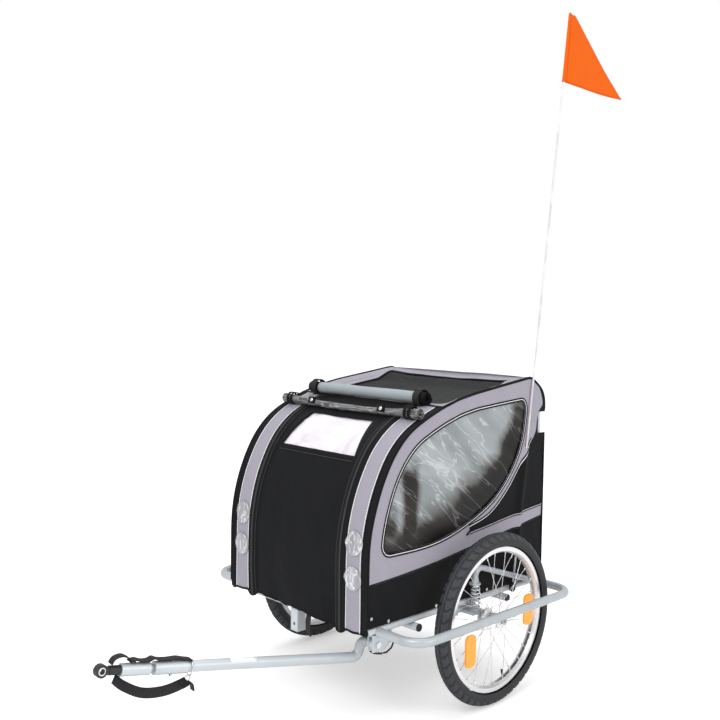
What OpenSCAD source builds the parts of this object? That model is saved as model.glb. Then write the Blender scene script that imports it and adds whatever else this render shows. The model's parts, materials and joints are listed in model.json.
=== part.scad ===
// Two-wheeled trailer that a bicycle tows: a fabric cabin on a tube frame, sprung 20 inch wheels,
// wheel guards, a side-mounted tow bar with a flexible hitch, and a safety flag.
// Millimetres. +Z is up, the tow bar points along -Y, and +X is the tow bar's side.
// The origin is on the ground, under the middle of the trailer's overall length. Pieces are drawn with
// the axle at Y = 0, and in_frame() then moves them.

/* [Wheels] */
// Outside diameter of the tyre
tyre_d = 500; // [490:1:510]
// Width of the tyre's round section
tyre_w = 46; // [42:1:48]
// Distance from the middle of the trailer to each wheel's middle plane
track_half = 380; // [378:1:384]
// Number of spokes in each wheel
spoke_count = 28; // [20:4:36]

/* [Frame] */
// Height of the side rails' centre line
rail_z = 285; // [283:1:286]
// Distance from the middle to each side rail's centre line
rail_x = 290; // [289:1:290]
// Radius of the base frame's tubes
rail_r = 11; // [10:0.5:11]
// Radius of the hoops' tubes
hoop_r = 9.5; // [8:0.5:9.5]
// Radius of the wheel guards' tubes
guard_r = 12.5; // [10:0.5:12.5]
// Distance from the middle to each wheel guard's long straight
guard_x = 442; // [440:1:450]

/* [Cabin] */
// Half of the cabin's width, to the outside of the side panels
cabin_half = 302; // [302:1:304]
// Height of the cover's lower edge
cover_z = 298; // [298:1:300]
// Thickness of the padded fabric
cloth_t = 3; // [2:0.5:3]
// Height of the cover's front, up to where it starts to lean back
front_rise = 165; // [160:1:170]

/* [Tow bar] */
// Radius of the tow bar's tube
tow_r = 14; // [12:0.5:14.5]
// Radius of the hole in the hitch eye
eye_bore_r = 6.5; // [5:0.5:7]

/* [Flag] */
// Height of the top of the flag pole
flag_top_z = 2083; // [1500:1:2100]

/* [Hidden] */
$fn = 64;

silver = "silver";
black = "#181818";
grey = "#b9b6c4";
clear = [0.85, 0.87, 0.9, 0.4];

eps = 0.1;
run_gap = 0.05;          // radial clearance of a shaft that turns in its hole
wheel_z = tyre_d / 2;

// ---- Cover outline: a chain of [length, 0] straights and [radius, degrees turned] arcs, in Y and Z
front_y = -441;
outline = [
  [front_rise, 0], [500, 31.3], [278, 32.3], [788, 7.9], [788, 11.1], [263, 0],
  [25, 42], [45, 0], [70, 55.4], [551.6, 0]
];
FRONT = 0;               // index of each panel's first stretch in the outline
WINDOW = 2;
ROOF = 4;
REAR = 6;
END = 10;
arc_step = 6;

function unit(v) = v / norm(v);
function heading(h) = [cos(h), sin(h)];
function outward(h) = [-sin(h), cos(h)];
// A state is [point, heading]; each stretch of the outline turns one state into the next.
function step_on(s, seg) = seg.y == 0
  ? [s[0] + seg.x * heading(s[1]), s[1]]
  : let (c = s[0] - seg.x * outward(s[1])) [c + seg.x * outward(s[1] - seg.y), s[1] - seg.y];
function state(i) = i == 0 ? [[front_y, cover_z], 90] : step_on(state(i - 1), outline[i - 1]);
function stretch(i) =
  let (seg = outline[i], s = state(i), n = seg.y == 0 ? 1 : ceil(seg.y / arc_step))
  [for (k = [0:n - 1]) k == 0 ? s : step_on(s, [seg.x, seg.y * k / n])];
function states(i, j) = concat([for (k = [i:j - 1]) each stretch(k)], [state(j)]);
// The outline between stretches i and j, moved inwards
function rim_line(i, j, inset) = [for (s = states(i, j)) s[0] - inset * outward(s[1])];

// ---- Swept solids
function cross_up(t, up) = unit(up - t * (up * t));
function tangents(p) =
  [for (i = [0:len(p) - 1]) unit(p[min(i + 1, len(p) - 1)] - p[max(i - 1, 0)])];
function normals(t, up) =
  [for (i = 0, n = cross_up(t[0], up); i < len(t);
        i = i + 1, n = i < len(t) ? cross_up(t[i], n) : n) n];
function circle_points(r, n) = [for (k = [0:n - 1]) r * [cos(360 * k / n), sin(360 * k / n)]];

// A closed solid that carries a flat section, a list of points, along a path
module sweep(path, section, up) {
  t = tangents(path);
  n = normals(t, up);
  m = len(section);
  last = (len(path) - 1) * m;
  points = [
    for (i = [0:len(path) - 1]) for (q = section) path[i] + q.x * n[i] + q.y * cross(t[i], n[i])
  ];
  sides = [
    for (i = [0:len(path) - 2]) for (k = [0:m - 1])
      [i * m + k, (i + 1) * m + k, (i + 1) * m + (k + 1) % m, i * m + (k + 1) % m]
  ];
  ends = [[for (k = [0:m - 1]) k], [for (k = [m - 1:-1:0]) last + k]];
  polyhedron(points, concat(sides, ends), convexity = 10);
}

module rod_along(path, r, up = [0, 0, 1], n = 18) {
  sweep(path, circle_points(r, n), up);
}

// A path's corners rounded; radii has one value for each point and 0 leaves the point as it is
function corner(a, p, b, r, n) =
  let (u = unit(a - p), v = unit(b - p), half = acos(u * v) / 2, turn = 180 - 2 * half)
  let (c = p + unit(u + v) * r / sin(half), from = p + u * r / tan(half) - c)
  let (to = p + v * r / tan(half) - c)
  [for (k = [0:n]) c + (from * sin(turn * (1 - k / n)) + to * sin(turn * k / n)) / sin(turn)];
function rounded(p, radii, n = 7) = [
  for (i = [0:len(p) - 1])
    each (radii[i] == 0 ? [p[i]] : corner(p[i - 1], p[i], p[i + 1], radii[i], n))
];

// A round bar between two points
module bar(a, b, r) {
  d = b - a;
  translate(a) rotate([0, acos(d.z / norm(d)), atan2(d.y, d.x)]) cylinder(r = r, h = norm(d));
}

module tube(a, b, r, wall) {
  difference() {
    bar(a, b, r);
    bar(a - unit(b - a), b + unit(b - a), r - wall);
  }
}

// Moves a piece from the axle to its place in the trailer's own frame
module in_frame() {
  translate([0, -(overall_y[0] + overall_y[1]) / 2, 0]) children();
}

module pair() {
  children();
  mirror([1, 0, 0]) children();
}

module box(low, high) {
  translate(low) cube(high - low);
}

// Extrudes a Y-Z outline along X, from x0 to x1
module slab(points, x0, x1) {
  translate([x0, 0, 0]) rotate([90, 0, 90]) linear_extrude(x1 - x0) polygon(points);
}

// ---- Base frame
front_tube_y = -422;
rear_tube_y = 322;
rail_wall = 1.5;
cross_y = [-250, 150];
cross_z = rail_z - 2 * rail_r - 0.2;
cross_half = 312;

arm_pivot = [285, 262];            // X and Z of the swing arm's pivot
arm_y = [-61.5, 11.5];             // the pivot sleeve's two ends
pin_r = 5;
ear_t = 4;

front_pivot = [front_tube_y, 318]; // Y and Z of the hoops' pivots
rear_pivot = [316, 318];
front_leg_x = 264;
rear_leg_x = 285;
hoop_pin_r = 4;
lug_w = 22;

// A hinge plate for a hoop's leg, with a foot welded to the side rail
module lug(x, pivot) {
  difference() {
    union() {
      box([x, pivot.x - lug_w / 2, rail_z + 2], [x + ear_t, pivot.x + lug_w / 2, pivot.y]);
      box([x, pivot.x - lug_w / 2, rail_z + 2], [rail_x - 4, pivot.x - lug_w / 2 + 6, rail_z + 7]);
      translate([x, pivot.x, pivot.y]) rotate([0, 90, 0]) cylinder(r = lug_w / 2, h = ear_t);
    }
    translate([x - 1, pivot.x, pivot.y]) rotate([0, 90, 0])
      cylinder(r = hoop_pin_r + eps, h = ear_t + 2);
  }
}

module arm_ear(y) {
  difference() {
    box([arm_pivot.x - 12, y, arm_pivot.y - 12], [arm_pivot.x + 12, y + ear_t, rail_z - 4]);
    translate([arm_pivot.x, y - 1, arm_pivot.y]) rotate([-90, 0, 0])
      cylinder(r = pin_r + eps, h = ear_t + 2);
  }
}

post_w = 30;
post_wall = 2;
post_z = [215, 280];
post_hole_r = 5;

// Square socket under the front tube, for a stroller wheel or a stand
module front_post() {
  difference() {
    box([-post_w / 2, front_tube_y - post_w / 2, post_z[0]],
        [post_w / 2, front_tube_y + post_w / 2, post_z[1]]);
    box([-post_w / 2 + post_wall, front_tube_y - post_w / 2 + post_wall, post_z[0] - 1],
        [post_w / 2 - post_wall, front_tube_y + post_w / 2 - post_wall, rail_z - rail_r - 2]);
    translate([0, front_tube_y - post_w, 236]) rotate([-90, 0, 0])
      cylinder(r = post_hole_r, h = 2 * post_w);
  }
}

rail_ends = [front_tube_y - 12, rear_tube_y + 12];
end_tube_r = rail_r - 0.5;         // the front and rear tubes butt into the rails
plug_r = rail_r - rail_wall - 0.02;

module base_frame() {
  in_frame() color(silver) difference() {
    union() {
      pair() bar([rail_x, rail_ends[0], rail_z], [rail_x, rail_ends[1], rail_z], rail_r);
      for (y = [front_tube_y, rear_tube_y])
        bar([-rail_x, y, rail_z], [rail_x, y, rail_z], end_tube_r);
      pair() for (y = [arm_y[0] - ear_t - 0.5, arm_y[1] + 0.5]) arm_ear(y);
      pair() lug(front_leg_x + hoop_r + 1, front_pivot);
      pair() lug(rear_leg_x - hoop_r - 1 - ear_t, rear_pivot);
      front_post();
    }
    pair() bar([rail_x, rail_ends[0] - 1, rail_z], [rail_x, rail_ends[1] + 1, rail_z], plug_r + 0.02);
  }
}

module cross_tubes() {
  in_frame() color(silver) for (y = cross_y)
    tube([-cross_half, y, cross_z], [cross_half, y, cross_z], rail_r, rail_wall);
}

// A plastic plug for a tube's open end: at is the end's centre, out the direction it faces
module plug(at, out) {
  bar(at - 8 * out, at + 2 * out, plug_r);
  bar(at + eps * out, at + 3 * out, rail_r);
}

module end_caps() {
  in_frame() color(black) pair() {
    for (y = cross_y) plug([cross_half, y, cross_z], [1, 0, 0]);
    plug([rail_x, rail_ends[0], rail_z], [0, -1, 0]);
    plug([rail_x, rail_ends[1], rail_z], [0, 1, 0]);
  }
}

guard_y = [-395, 308];
guard_z = 282;
guard_bend = 60;
guard_wall = 1.5;

module guard_bend_tube(at, turn) {
  translate([at.x, at.y, guard_z]) rotate([0, 0, turn]) rotate_extrude(angle = 90)
    translate([guard_bend, 0]) difference() {
      circle(r = guard_r);
      circle(r = guard_r - guard_wall);
    }
}

// Tube loops that stand outside the wheels
module wheel_guards() {
  start_x = rail_x + rail_r + 0.3;
  bend_x = guard_x - guard_bend;
  in_frame() color(silver) pair() {
    for (y = guard_y) tube([start_x, y, guard_z], [bend_x, y, guard_z], guard_r, guard_wall);
    guard_bend_tube([bend_x, guard_y[0] + guard_bend], -90);
    guard_bend_tube([bend_x, guard_y[1] - guard_bend], 0);
    tube([guard_x, guard_y[0] + guard_bend, guard_z], [guard_x, guard_y[1] - guard_bend, guard_z],
         guard_r, guard_wall);
  }
}

// ---- Suspension: an arm that swings about a pin along Y, and a coil spring to a tower above it
shock = [320, -17];
seat_r = 17;
seat_z = 340;
arm_seat_z = 270;
seat_t = 4;
bumper = [4.5, 48];                // radius and length of the rubber bumper's rod inside the coil
tower_r = 8.5;
tower_top_z = 394;

module shock_towers() {
  foot = [shock.x, guard_y[1], guard_z];
  top = [shock.x, shock.y, tower_top_z];
  end = foot + unit(top - foot) * (guard_r + eps);
  path = [[shock.x, shock.y, seat_z + seat_t + eps], top, end];
  in_frame() color(silver) pair() rod_along(rounded(path, [0, 24, 0]), tower_r, [1, 0, 0], 20);
}

module shock_seats() {
  in_frame() color(silver) pair() translate([shock.x, shock.y, 0]) {
    translate([0, 0, seat_z]) cylinder(r = seat_r, h = seat_t);
    translate([0, 0, seat_z - bumper.y]) cylinder(r = bumper.x, h = bumper.y);
  }
}

module arm_pins() {
  in_frame() color(silver) pair() {
    bar([arm_pivot.x, arm_y[0] - 6, arm_pivot.y], [arm_pivot.x, arm_y[1] + 6, arm_pivot.y], pin_r);
    for (y = [arm_y[0] - 9, arm_y[1] + 5]) translate([arm_pivot.x, y, arm_pivot.y])
      rotate([-90, 0, 0]) cylinder(r = 8, h = 4, $fn = 6);
  }
}

coil_r = 14.5;
wire_r = 2.2;
coils = 6;

module spring() {
  low = arm_seat_z + wire_r + eps;
  high = seat_z - wire_r - eps;
  n = coils * 14;
  path = [
    for (k = [0:n])
      [shock.x + coil_r * cos(360 * coils * k / n), shock.y + coil_r * sin(360 * coils * k / n),
       low + (high - low) * k / n]
  ];
  in_frame() color("gainsboro") rod_along(path, wire_r, [0, 0, 1], 8);
}

module spring_left() { spring(); }
module spring_right() { mirror([1, 0, 0]) spring(); }

axle_r = 6;
button_r = 4;
arm_plate = [[289, -45, 256], [338, 9, 264]];
boss_x = [334, 350];
axle_end_x = 420;
collar_x = [413.6, 419.6];

module arm() {
  in_frame() color(silver) difference() {
    union() {
      bar([arm_pivot.x, arm_y[0], arm_pivot.y], [arm_pivot.x, arm_y[1], arm_pivot.y], 9.5);
      box(arm_plate[0], arm_plate[1]);
      box([boss_x[0], -20, wheel_z - 14], [boss_x[0] + 6, 14, arm_plate[1].z]);
      bar([boss_x[0], 0, wheel_z], [boss_x[1], 0, wheel_z], 12);
      bar([boss_x[1], 0, wheel_z], [boss_x[1] + 3, 0, wheel_z], 9);
      bar([boss_x[1], 0, wheel_z], [axle_end_x, 0, wheel_z], axle_r);
      bar([collar_x[0], 0, wheel_z], [collar_x[1], 0, wheel_z], 9.5);
      translate([shock.x, shock.y, arm_plate[1].z - 1])
        cylinder(r = seat_r, h = arm_seat_z - arm_plate[1].z + 1);
    }
    bar([arm_pivot.x, arm_y[0] - 1, arm_pivot.y], [arm_pivot.x, arm_y[1] + 1, arm_pivot.y],
        pin_r + run_gap);
    bar([axle_end_x - 15, 0, wheel_z], [axle_end_x + 1, 0, wheel_z], button_r + run_gap);
  }
}

module arm_left() { arm(); }
module arm_right() { mirror([1, 0, 0]) arm(); }

module axle_button() {
  in_frame() color("gainsboro")
    bar([axle_end_x - 10, 0, wheel_z], [axle_end_x + 6, 0, wheel_z], button_r);
}

module axle_button_left() { axle_button(); }
module axle_button_right() { mirror([1, 0, 0]) axle_button(); }

// ---- Wheel, drawn with its axis along Z and its middle plane at zero, then stood up in place
module on_axle() {
  translate([track_half, 0, wheel_z]) rotate([0, 90, 0]) children();
}

flange = 25;             // from the middle plane to each flange's middle
flange_r = 24;
flange_t = 3;
barrel_r = 14;
bearing_r = 11;
bearing_w = 9;
hub_ends = [-26.5, 33];
rim_r = 210;             // outside of the rim's hooks
rim_in_r = 193;
rim_half = 13.5;
rim_wall = 2;
spoke_r = 0.9;
spoke_hole_r = 20;
spoke_lay = 2.5;         // how far spokes that cross lie either side of their flange's middle
spoke_sweep = 58;        // how far round the hub a spoke starts from where it meets the rim

module hub() {
  in_frame() color("gainsboro") on_axle() difference() {
    union() {
      translate([0, 0, hub_ends[0]]) cylinder(r = barrel_r, h = hub_ends[1] - hub_ends[0]);
      for (z = [-flange, flange]) translate([0, 0, z - flange_t / 2]) cylinder(r = flange_r, h = flange_t);
    }
    translate([0, 0, hub_ends[0] - 1]) cylinder(r = 8, h = hub_ends[1] - hub_ends[0] + 2);
    translate([0, 0, hub_ends[0] - 1]) cylinder(r = bearing_r + 0.02, h = bearing_w + 1);
    translate([0, 0, hub_ends[1] - bearing_w]) cylinder(r = bearing_r + 0.02, h = bearing_w + 1);
  }
}

module bearings() {
  in_frame() color("gainsboro") on_axle() for (z = [hub_ends[0], hub_ends[1] - bearing_w + eps])
    translate([0, 0, z]) difference() {
      cylinder(r = bearing_r, h = bearing_w - eps);
      translate([0, 0, -1]) cylinder(r = axle_r + run_gap, h = bearing_w + 2);
    }
}

module spokes() {
  per_side = spoke_count / 2;
  in_frame() color("gainsboro") on_axle() for (side = [-1, 1], i = [0:per_side - 1]) {
    way = i % 2 == 0 ? 1 : -1;
    at_rim = (i + (side + 1) / 4) * 360 / per_side;
    at_hub = at_rim + way * spoke_sweep;
    bar([spoke_hole_r * cos(at_hub), spoke_hole_r * sin(at_hub),
         side * (flange + way * (flange_t / 2 + spoke_r + 0.2))],
        [(rim_in_r - 0.3) * cos(at_rim), (rim_in_r - 0.3) * sin(at_rim), side * spoke_lay], spoke_r);
  }
}

module rim() {
  in_frame() color("gainsboro") on_axle() rotate_extrude($fn = 128) difference() {
    polygon([
      [rim_in_r, -5], [rim_in_r, 5], [rim_in_r + 5, rim_half], [rim_r, rim_half],
      [rim_r, -rim_half], [rim_in_r + 5, -rim_half]
    ]);
    translate([rim_in_r + 7, rim_wall - rim_half]) square([rim_r - rim_in_r, 2 * (rim_half - rim_wall)]);
  }
}

tyre_wall = 4.5;
bead_half = 11.3;        // half width of the part that sits inside the rim's hooks

module tyre() {
  mid_r = wheel_z - tyre_w / 2;
  in_frame() color("#1c1c1e") on_axle() rotate_extrude($fn = 128) difference() {
    translate([mid_r, 0]) circle(r = tyre_w / 2, $fn = 48);
    translate([mid_r, 0]) circle(r = tyre_w / 2 - tyre_wall, $fn = 48);
    for (z = [bead_half, -tyre_w])
      translate([rim_in_r, z]) square([rim_r + 0.3 - rim_in_r, tyre_w - bead_half]);
  }
}

valve_at = -76;          // degrees round the wheel from the rear, anticlockwise seen from +X
reflector_at = [[0, 0], [206, -26]];   // place round the wheel, and the turn about its own middle
reflector_r = 141;
reflector_size = [92, 42, 6];
reflector_corner = 14;

// Places children at a radius and an angle round the wheel, with +X outwards along the radius
module round_wheel(angle) {
  on_axle() rotate([0, 0, angle + 90]) children();
}

module valve() {
  in_frame() color(black) round_wheel(valve_at) rotate([0, 90, 0]) translate([0, 0, rim_in_r - 25.3])
    cylinder(r = 3, h = 25);
}

module wheel_reflectors() {
  in_frame() color("orange") for (a = reflector_at) round_wheel(a.x)
    translate([reflector_r, 0, 13.8]) rotate([0, 0, a.y]) linear_extrude(reflector_size.z) hull()
      for (y = [-1, 1], x = [-1, 1])
        translate([x * (reflector_size.y / 2 - reflector_corner),
                   y * (reflector_size.x / 2 - reflector_corner)])
          circle(r = reflector_corner, $fn = 32);
}

module hub_left() { hub(); }
module hub_right() { mirror([1, 0, 0]) hub(); }
module bearings_left() { bearings(); }
module bearings_right() { mirror([1, 0, 0]) bearings(); }
module spokes_left() { spokes(); }
module spokes_right() { mirror([1, 0, 0]) spokes(); }
module rim_left() { rim(); }
module rim_right() { mirror([1, 0, 0]) rim(); }
module tyre_left() { tyre(); }
module tyre_right() { mirror([1, 0, 0]) tyre(); }
module valve_left() { valve(); }
module valve_right() { mirror([1, 0, 0]) valve(); }
module wheel_reflectors_left() { wheel_reflectors(); }
module wheel_reflectors_right() { mirror([1, 0, 0]) wheel_reflectors(); }

// ---- Folding hoops, which swing inside the cabin
hoop_inset = cloth_t + hoop_r + 1.5;
hoop_foot = 8;           // how far a leg runs below its pivot

module hoop(leg, bend, pivot) {
  other = [for (i = [len(leg) - 1:-1:0]) [-leg[i].x, leg[i].y, leg[i].z]];
  path = concat(leg, other);
  radii = [for (i = [0:len(path) - 1]) i == len(leg) - 1 || i == len(leg) ? bend : 0];
  in_frame() color(silver) difference() {
    rod_along(rounded(path, radii), hoop_r, [0, 1, 0], 20);
    bar([-rail_x - 20, pivot.x, pivot.y], [rail_x + 20, pivot.x, pivot.y], hoop_pin_r + run_gap);
  }
}

module front_hoop() {
  line = rim_line(FRONT, ROOF, hoop_inset);
  foot = [front_pivot.x, front_pivot.y - hoop_foot];
  leg = concat([[front_leg_x, foot.x, foot.y]],
               [for (i = [1:len(line) - 1]) [front_leg_x, line[i].x, line[i].y]]);
  hoop(leg, 45, front_pivot);
}

module rear_hoop() {
  knee = [rear_leg_x, rear_pivot.x + 8, 866];
  top = [rear_leg_x, 262, 913];
  foot = [rear_leg_x, rear_pivot.x, rear_pivot.y - hoop_foot];
  leg = concat([foot], corner(foot, knee, top, 40, 5), [top]);
  hoop(leg, 45, rear_pivot);
}

bolt_head = [7, 4];      // radius and height

module hoop_bolt(pivot, from, to) {
  bar([from, pivot.x, pivot.y], [to, pivot.x, pivot.y], hoop_pin_r);
  for (x = [from, to - bolt_head.y]) translate([x, pivot.x, pivot.y]) rotate([0, 90, 0])
    cylinder(r = bolt_head.x, h = bolt_head.y, $fn = 6);
}

module hoop_bolts() {
  in_frame() color("gainsboro") pair() {
    hoop_bolt(front_pivot, front_leg_x - hoop_r - bolt_head.y - 2 * eps, front_leg_x + hoop_r + 10);
    hoop_bolt(rear_pivot, rear_leg_x - hoop_r - 10, rear_leg_x + hoop_r + bolt_head.y + 2 * eps);
  }
}

// ---- Cabin
module floor_panel() {
  in_frame() color(black) box([-272, -404, rail_z + rail_r + 1], [272, 300, rail_z + rail_r + 4]);
}

module floor_mat() {
  in_frame() color(black) box([-245, -390, rail_z + rail_r + 4.3], [245, 290, rail_z + rail_r + 18]);
}

// The side window: its upper edge follows the outline and its lower edge is two arcs.
// grow moves the whole edge outwards.
function window_low(grow) =
  let (a = [-260, 485], ca = a + [0, 700], cb = ca + (700 - 330) * [sin(27), -cos(27)])
  concat([[-378 - grow, 497 - grow], [-368 - grow / 2, 487 - grow]],
         [for (t = [0:3:27]) ca + (700 + grow) * [sin(t), -cos(t)]],
         [for (t = [33:5.5:88]) cb + (330 + grow) * [sin(t), -cos(t)]]);
function window_high(grow) = [
  for (q = rim_line(FRONT, REAR, 56 - grow)) if (q.y > 500 && q.x < 190) q
];
function reversed(list) = [for (i = [len(list) - 1:-1:0]) list[i]];
function window_points(grow) =
  concat(window_low(grow), [[226 + grow, 864 + grow]], reversed(window_high(grow)));

module side_panel() {
  in_frame() color(black) difference() {
    slab(rim_line(FRONT, END, 0), cabin_half - cloth_t, cabin_half);
    slab(window_points(0), cabin_half - 2 * cloth_t, cabin_half + cloth_t);
  }
}

module side_panel_left() { side_panel(); }
module side_panel_right() { mirror([1, 0, 0]) side_panel(); }

film_t = 1.2;

module side_windows() {
  in_frame() color(clear) pair()
    slab(window_points(10), cabin_half - cloth_t - 0.6 - film_t, cabin_half - cloth_t - 0.6);
}

band_half = cabin_half - cloth_t - 0.2;

// A strip of the cover between two stretches of the outline
module band(i, j, half, inset, t) {
  slab(concat(rim_line(i, j, inset), reversed(rim_line(i, j, inset + t))), -half, half);
}

window_half = [156, 130];         // half width of the front window at its lower and upper edges
window_rise = 67;                 // half of its height
window_drop = 5.5;                // how far its middle lies below the middle of its stretch
skirt = 14;                       // how far the front hangs below the rest of the cover's edge

module front_panel() {
  mid = step_on(state(WINDOW), [outline[WINDOW].x, outline[WINDOW].y / 2]);
  in_frame() color(black) difference() {
    union() {
      band(FRONT, ROOF, band_half, 0, cloth_t);
      box([-band_half, front_y, cover_z - skirt], [band_half, front_y + cloth_t, cover_z + 1]);
    }
    translate([0, mid[0].x, mid[0].y]) rotate([mid[1], 0, 0]) translate([0, -window_drop, -25])
      linear_extrude(50) polygon([
        [-window_half[0], -window_rise], [window_half[0], -window_rise],
        [window_half[1], window_rise], [-window_half[1], window_rise]
      ]);
  }
}

module front_window() {
  in_frame() color(clear) band(WINDOW, WINDOW + 1, 168, cloth_t + 0.4, film_t);
}

mesh_x = 246;
mesh_y = [-112, 196];

module roof_panel() {
  in_frame() color(grey) difference() {
    band(ROOF, REAR, band_half, 0, cloth_t);
    box([-mesh_x, mesh_y[0], 800], [mesh_x, mesh_y[1], 1000]);
  }
}

module roof_mesh() {
  in_frame() color(black) intersection() {
    band(ROOF, REAR, mesh_x + 8, cloth_t + 0.4, 1);
    box([-rail_x, mesh_y[0] - 8, 800], [rail_x, mesh_y[1] + 8, 1000]);
  }
}

module rear_panel() {
  in_frame() color(black) band(REAR, END, band_half, 0, cloth_t);
}

roll_y = -160;
roll_z = 889.5;
roll_r = 20;
roll_half = 250;
clear_roll_y = -236;
clear_roll_z = 854;
clear_roll_r = 17;
clear_roll_half = 292;

module cover_roll() {
  in_frame() color(grey) bar([-roll_half, roll_y, roll_z], [roll_half, roll_y, roll_z], roll_r - 2);
}

module clear_roll() {
  in_frame() color(clear) bar([-clear_roll_half, clear_roll_y, clear_roll_z],
                              [clear_roll_half, clear_roll_y, clear_roll_z], clear_roll_r - 1);
}

strap_x = 222;
strap_w = 24;

// Two straps that hold the rolled cover, each a band round it with its buckle
module roll_straps() {
  in_frame() color(black) pair() translate([strap_x - strap_w / 2, roll_y, roll_z]) rotate([0, 90, 0])
    difference() {
      cylinder(r = roll_r, h = strap_w);
      translate([0, 0, -1]) cylinder(r = roll_r - 1.8, h = strap_w + 2);
    }
}

disc_r = 33;
disc_t = 1;
disc_gap = 0.6;
disc_rise = 122;          // from the cover's edge up to the lower disc's middle
disc_turn = 6;            // degrees up the outline's first arc to the upper disc's middle
strip_x = 245;

// Round clear discs sewn to the front strips: two on each side
module trim_discs() {
  places = [step_on(state(0), [disc_rise, 0]), step_on(state(1), [outline[1].x, disc_turn])];
  in_frame() color(clear) pair() for (at = places)
    translate([strip_x, at[0].x, at[0].y]) rotate([at[1], 0, 0]) translate([0, 0, disc_gap])
      cylinder(r = disc_r, h = disc_t);
}

snap_y = [-362, -169, 60, 220, 300];
snap_z = cover_z + 7;
corner_snap = [front_y + 14, cover_z + 27];

// Domed snaps along the lower edge of each side panel, and one at its front corner
module rail_snaps() {
  in_frame() color("white") pair() for (at = concat([corner_snap], [for (y = snap_y) [y, snap_z]]))
    bar([cabin_half + eps, at.x, at.y], [cabin_half + 2.5, at.x, at.y], 4.5);
}

// ---- Flag: the pole stands in a socket on the side rail and leans back
flag_x = 307.5;
flag_foot = [flag_x, 183, 282];
flag_lean = 7.3;         // degrees that the pole leans back
pole_r = 3;
pole_len = (flag_top_z - flag_foot.z) / cos(flag_lean);

// Places children with +Z along the pole, from its foot
module along_pole() {
  translate(flag_foot) rotate([-flag_lean, 0, 0]) children();
}

socket = [8, 22];        // how far the socket runs below and above the pole's foot
pocket_along = [96, 440];

module flag_socket() {
  in_frame() color(black) difference() {
    union() {
      along_pole() translate([0, 0, -socket.x]) cylinder(r = pole_r + 2.2, h = socket.x + socket.y);
      box([rail_x + rail_r + 0.4, flag_foot.y - 9, rail_z - socket.x],
          [flag_x + 5, flag_foot.y + 9, cover_z - 0.5]);
    }
    along_pole() cylinder(r = pole_r + eps, h = 80);
  }
}

// A sleeve sewn to the side panel, which the pole runs up through
module flag_pocket() {
  in_frame() color(black) difference() {
    along_pole() translate([0, 0, pocket_along[0]])
      cylinder(r = 6.5, h = pocket_along[1] - pocket_along[0]);
    along_pole() cylinder(r = pole_r + 1.2, h = 500);
    box([0, 0, 0], [cabin_half + eps, 400, 1000]);
  }
}

module flag_pole() {
  in_frame() color("white") along_pole() translate([0, 0, 0.2]) cylinder(r = pole_r, h = pole_len);
}

pennant_h = 218;
pennant_w = 348;         // from the foot of the pennant's edge on the pole back to its tip
pennant_top = 30;        // width of the pennant's flat top
pennant_t = 1.2;
pole_tip = 4;            // how far the pole stands out above the pennant

function on_pole(d) = flag_foot + d * [0, sin(flag_lean), cos(flag_lean)];

// The pennant: a sleeve round the pole, and a thin triangle behind it
module flag() {
  in_frame() color("orangered") {
    along_pole() translate([0, 0, pole_len - pennant_h - pole_tip]) difference() {
      cylinder(r = pole_r + 1.8, h = pennant_h);
      translate([0, 0, -1]) cylinder(r = pole_r + 0.3, h = pennant_h + 2);
    }
    foot = on_pole(pole_len - pennant_h - pole_tip);
    head = on_pole(pole_len - pole_tip);
    slab([[foot.y + pole_r + 1, foot.z], [foot.y + pennant_w, foot.z],
          [head.y + pennant_top, head.z - 1], [head.y + pole_r + 1, head.z - 1]],
         flag_x - pennant_t / 2, flag_x + pennant_t / 2);
  }
}

// ---- Tow bar: a spigot along X in the bracket, a drop, and a long straight up to the hitch
spigot = [-396, 246];              // Y and Z of the spigot's axis
spigot_x = [235, 293.6];
eye = [150, -1125, 327];
bar_foot = [spigot_x[0], -410, 199];
bar_dir = unit(bar_foot - eye);    // from the eye towards the trailer
function on_bar(d) = eye + d * bar_dir;

sleeve_front = [46, 117];          // distances from the eye
sleeve_rear = [128, 212];
sleeve_end = 4;
ball_at = 122.5;
sleeve_r = 15;
tow_wall = 1.8;

bracket_x = [281, 298];           // outer faces of the bracket's two ears
bracket_t = 4;
bracket_top = rail_z - rail_r - 0.2;
ear_reach = [18, 55];             // how far the ears run in front of and behind the spigot's axis
ear_low = spigot.y - 18;
collar_r = 17.5;
bolt_r = 5;

// Channel under the side rail: the spigot turns in its inner ear, and on a bolt in its outer ear
module tow_bracket() {
  y = [spigot.x - ear_reach[0], spigot.x + ear_reach[1]];
  ear = [[y[0], bracket_top - 1], [y[1], bracket_top - 1], [y[1], spigot.y + 2],
         [spigot.x + ear_reach[1] / 2, ear_low], [y[0], ear_low]];
  in_frame() color(silver) difference() {
    union() {
      box([bracket_x[0] - bracket_t, y[0], bracket_top - bracket_t], [bracket_x[1], y[1], bracket_top]);
      for (x = bracket_x) slab(ear, x - bracket_t, x);
    }
    bar([200, spigot.x, spigot.y], [bracket_x[0] + 1, spigot.x, spigot.y], tow_r + run_gap);
    bar([bracket_x[0], spigot.x, spigot.y], [340, spigot.x, spigot.y], bolt_r + run_gap);
  }
}

// The bolt that holds the spigot in the bracket
module tow_bolts() {
  in_frame() color("gainsboro") {
    bar([bracket_x[0] + 5, spigot.x, spigot.y], [bracket_x[1] + 1, spigot.x, spigot.y], bolt_r);
    bar([bracket_x[1] + eps, spigot.x, spigot.y], [bracket_x[1] + 5, spigot.x, spigot.y], bolt_r + 3);
  }
}

ribbon_t = 2.4;

module ribbon(path, w, up) {
  section = [for (q = [[-1, -1], [1, -1], [1, 1], [-1, 1]]) [q.x * ribbon_t / 2, q.y * w / 2]];
  sweep(path, section, up);
}

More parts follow.
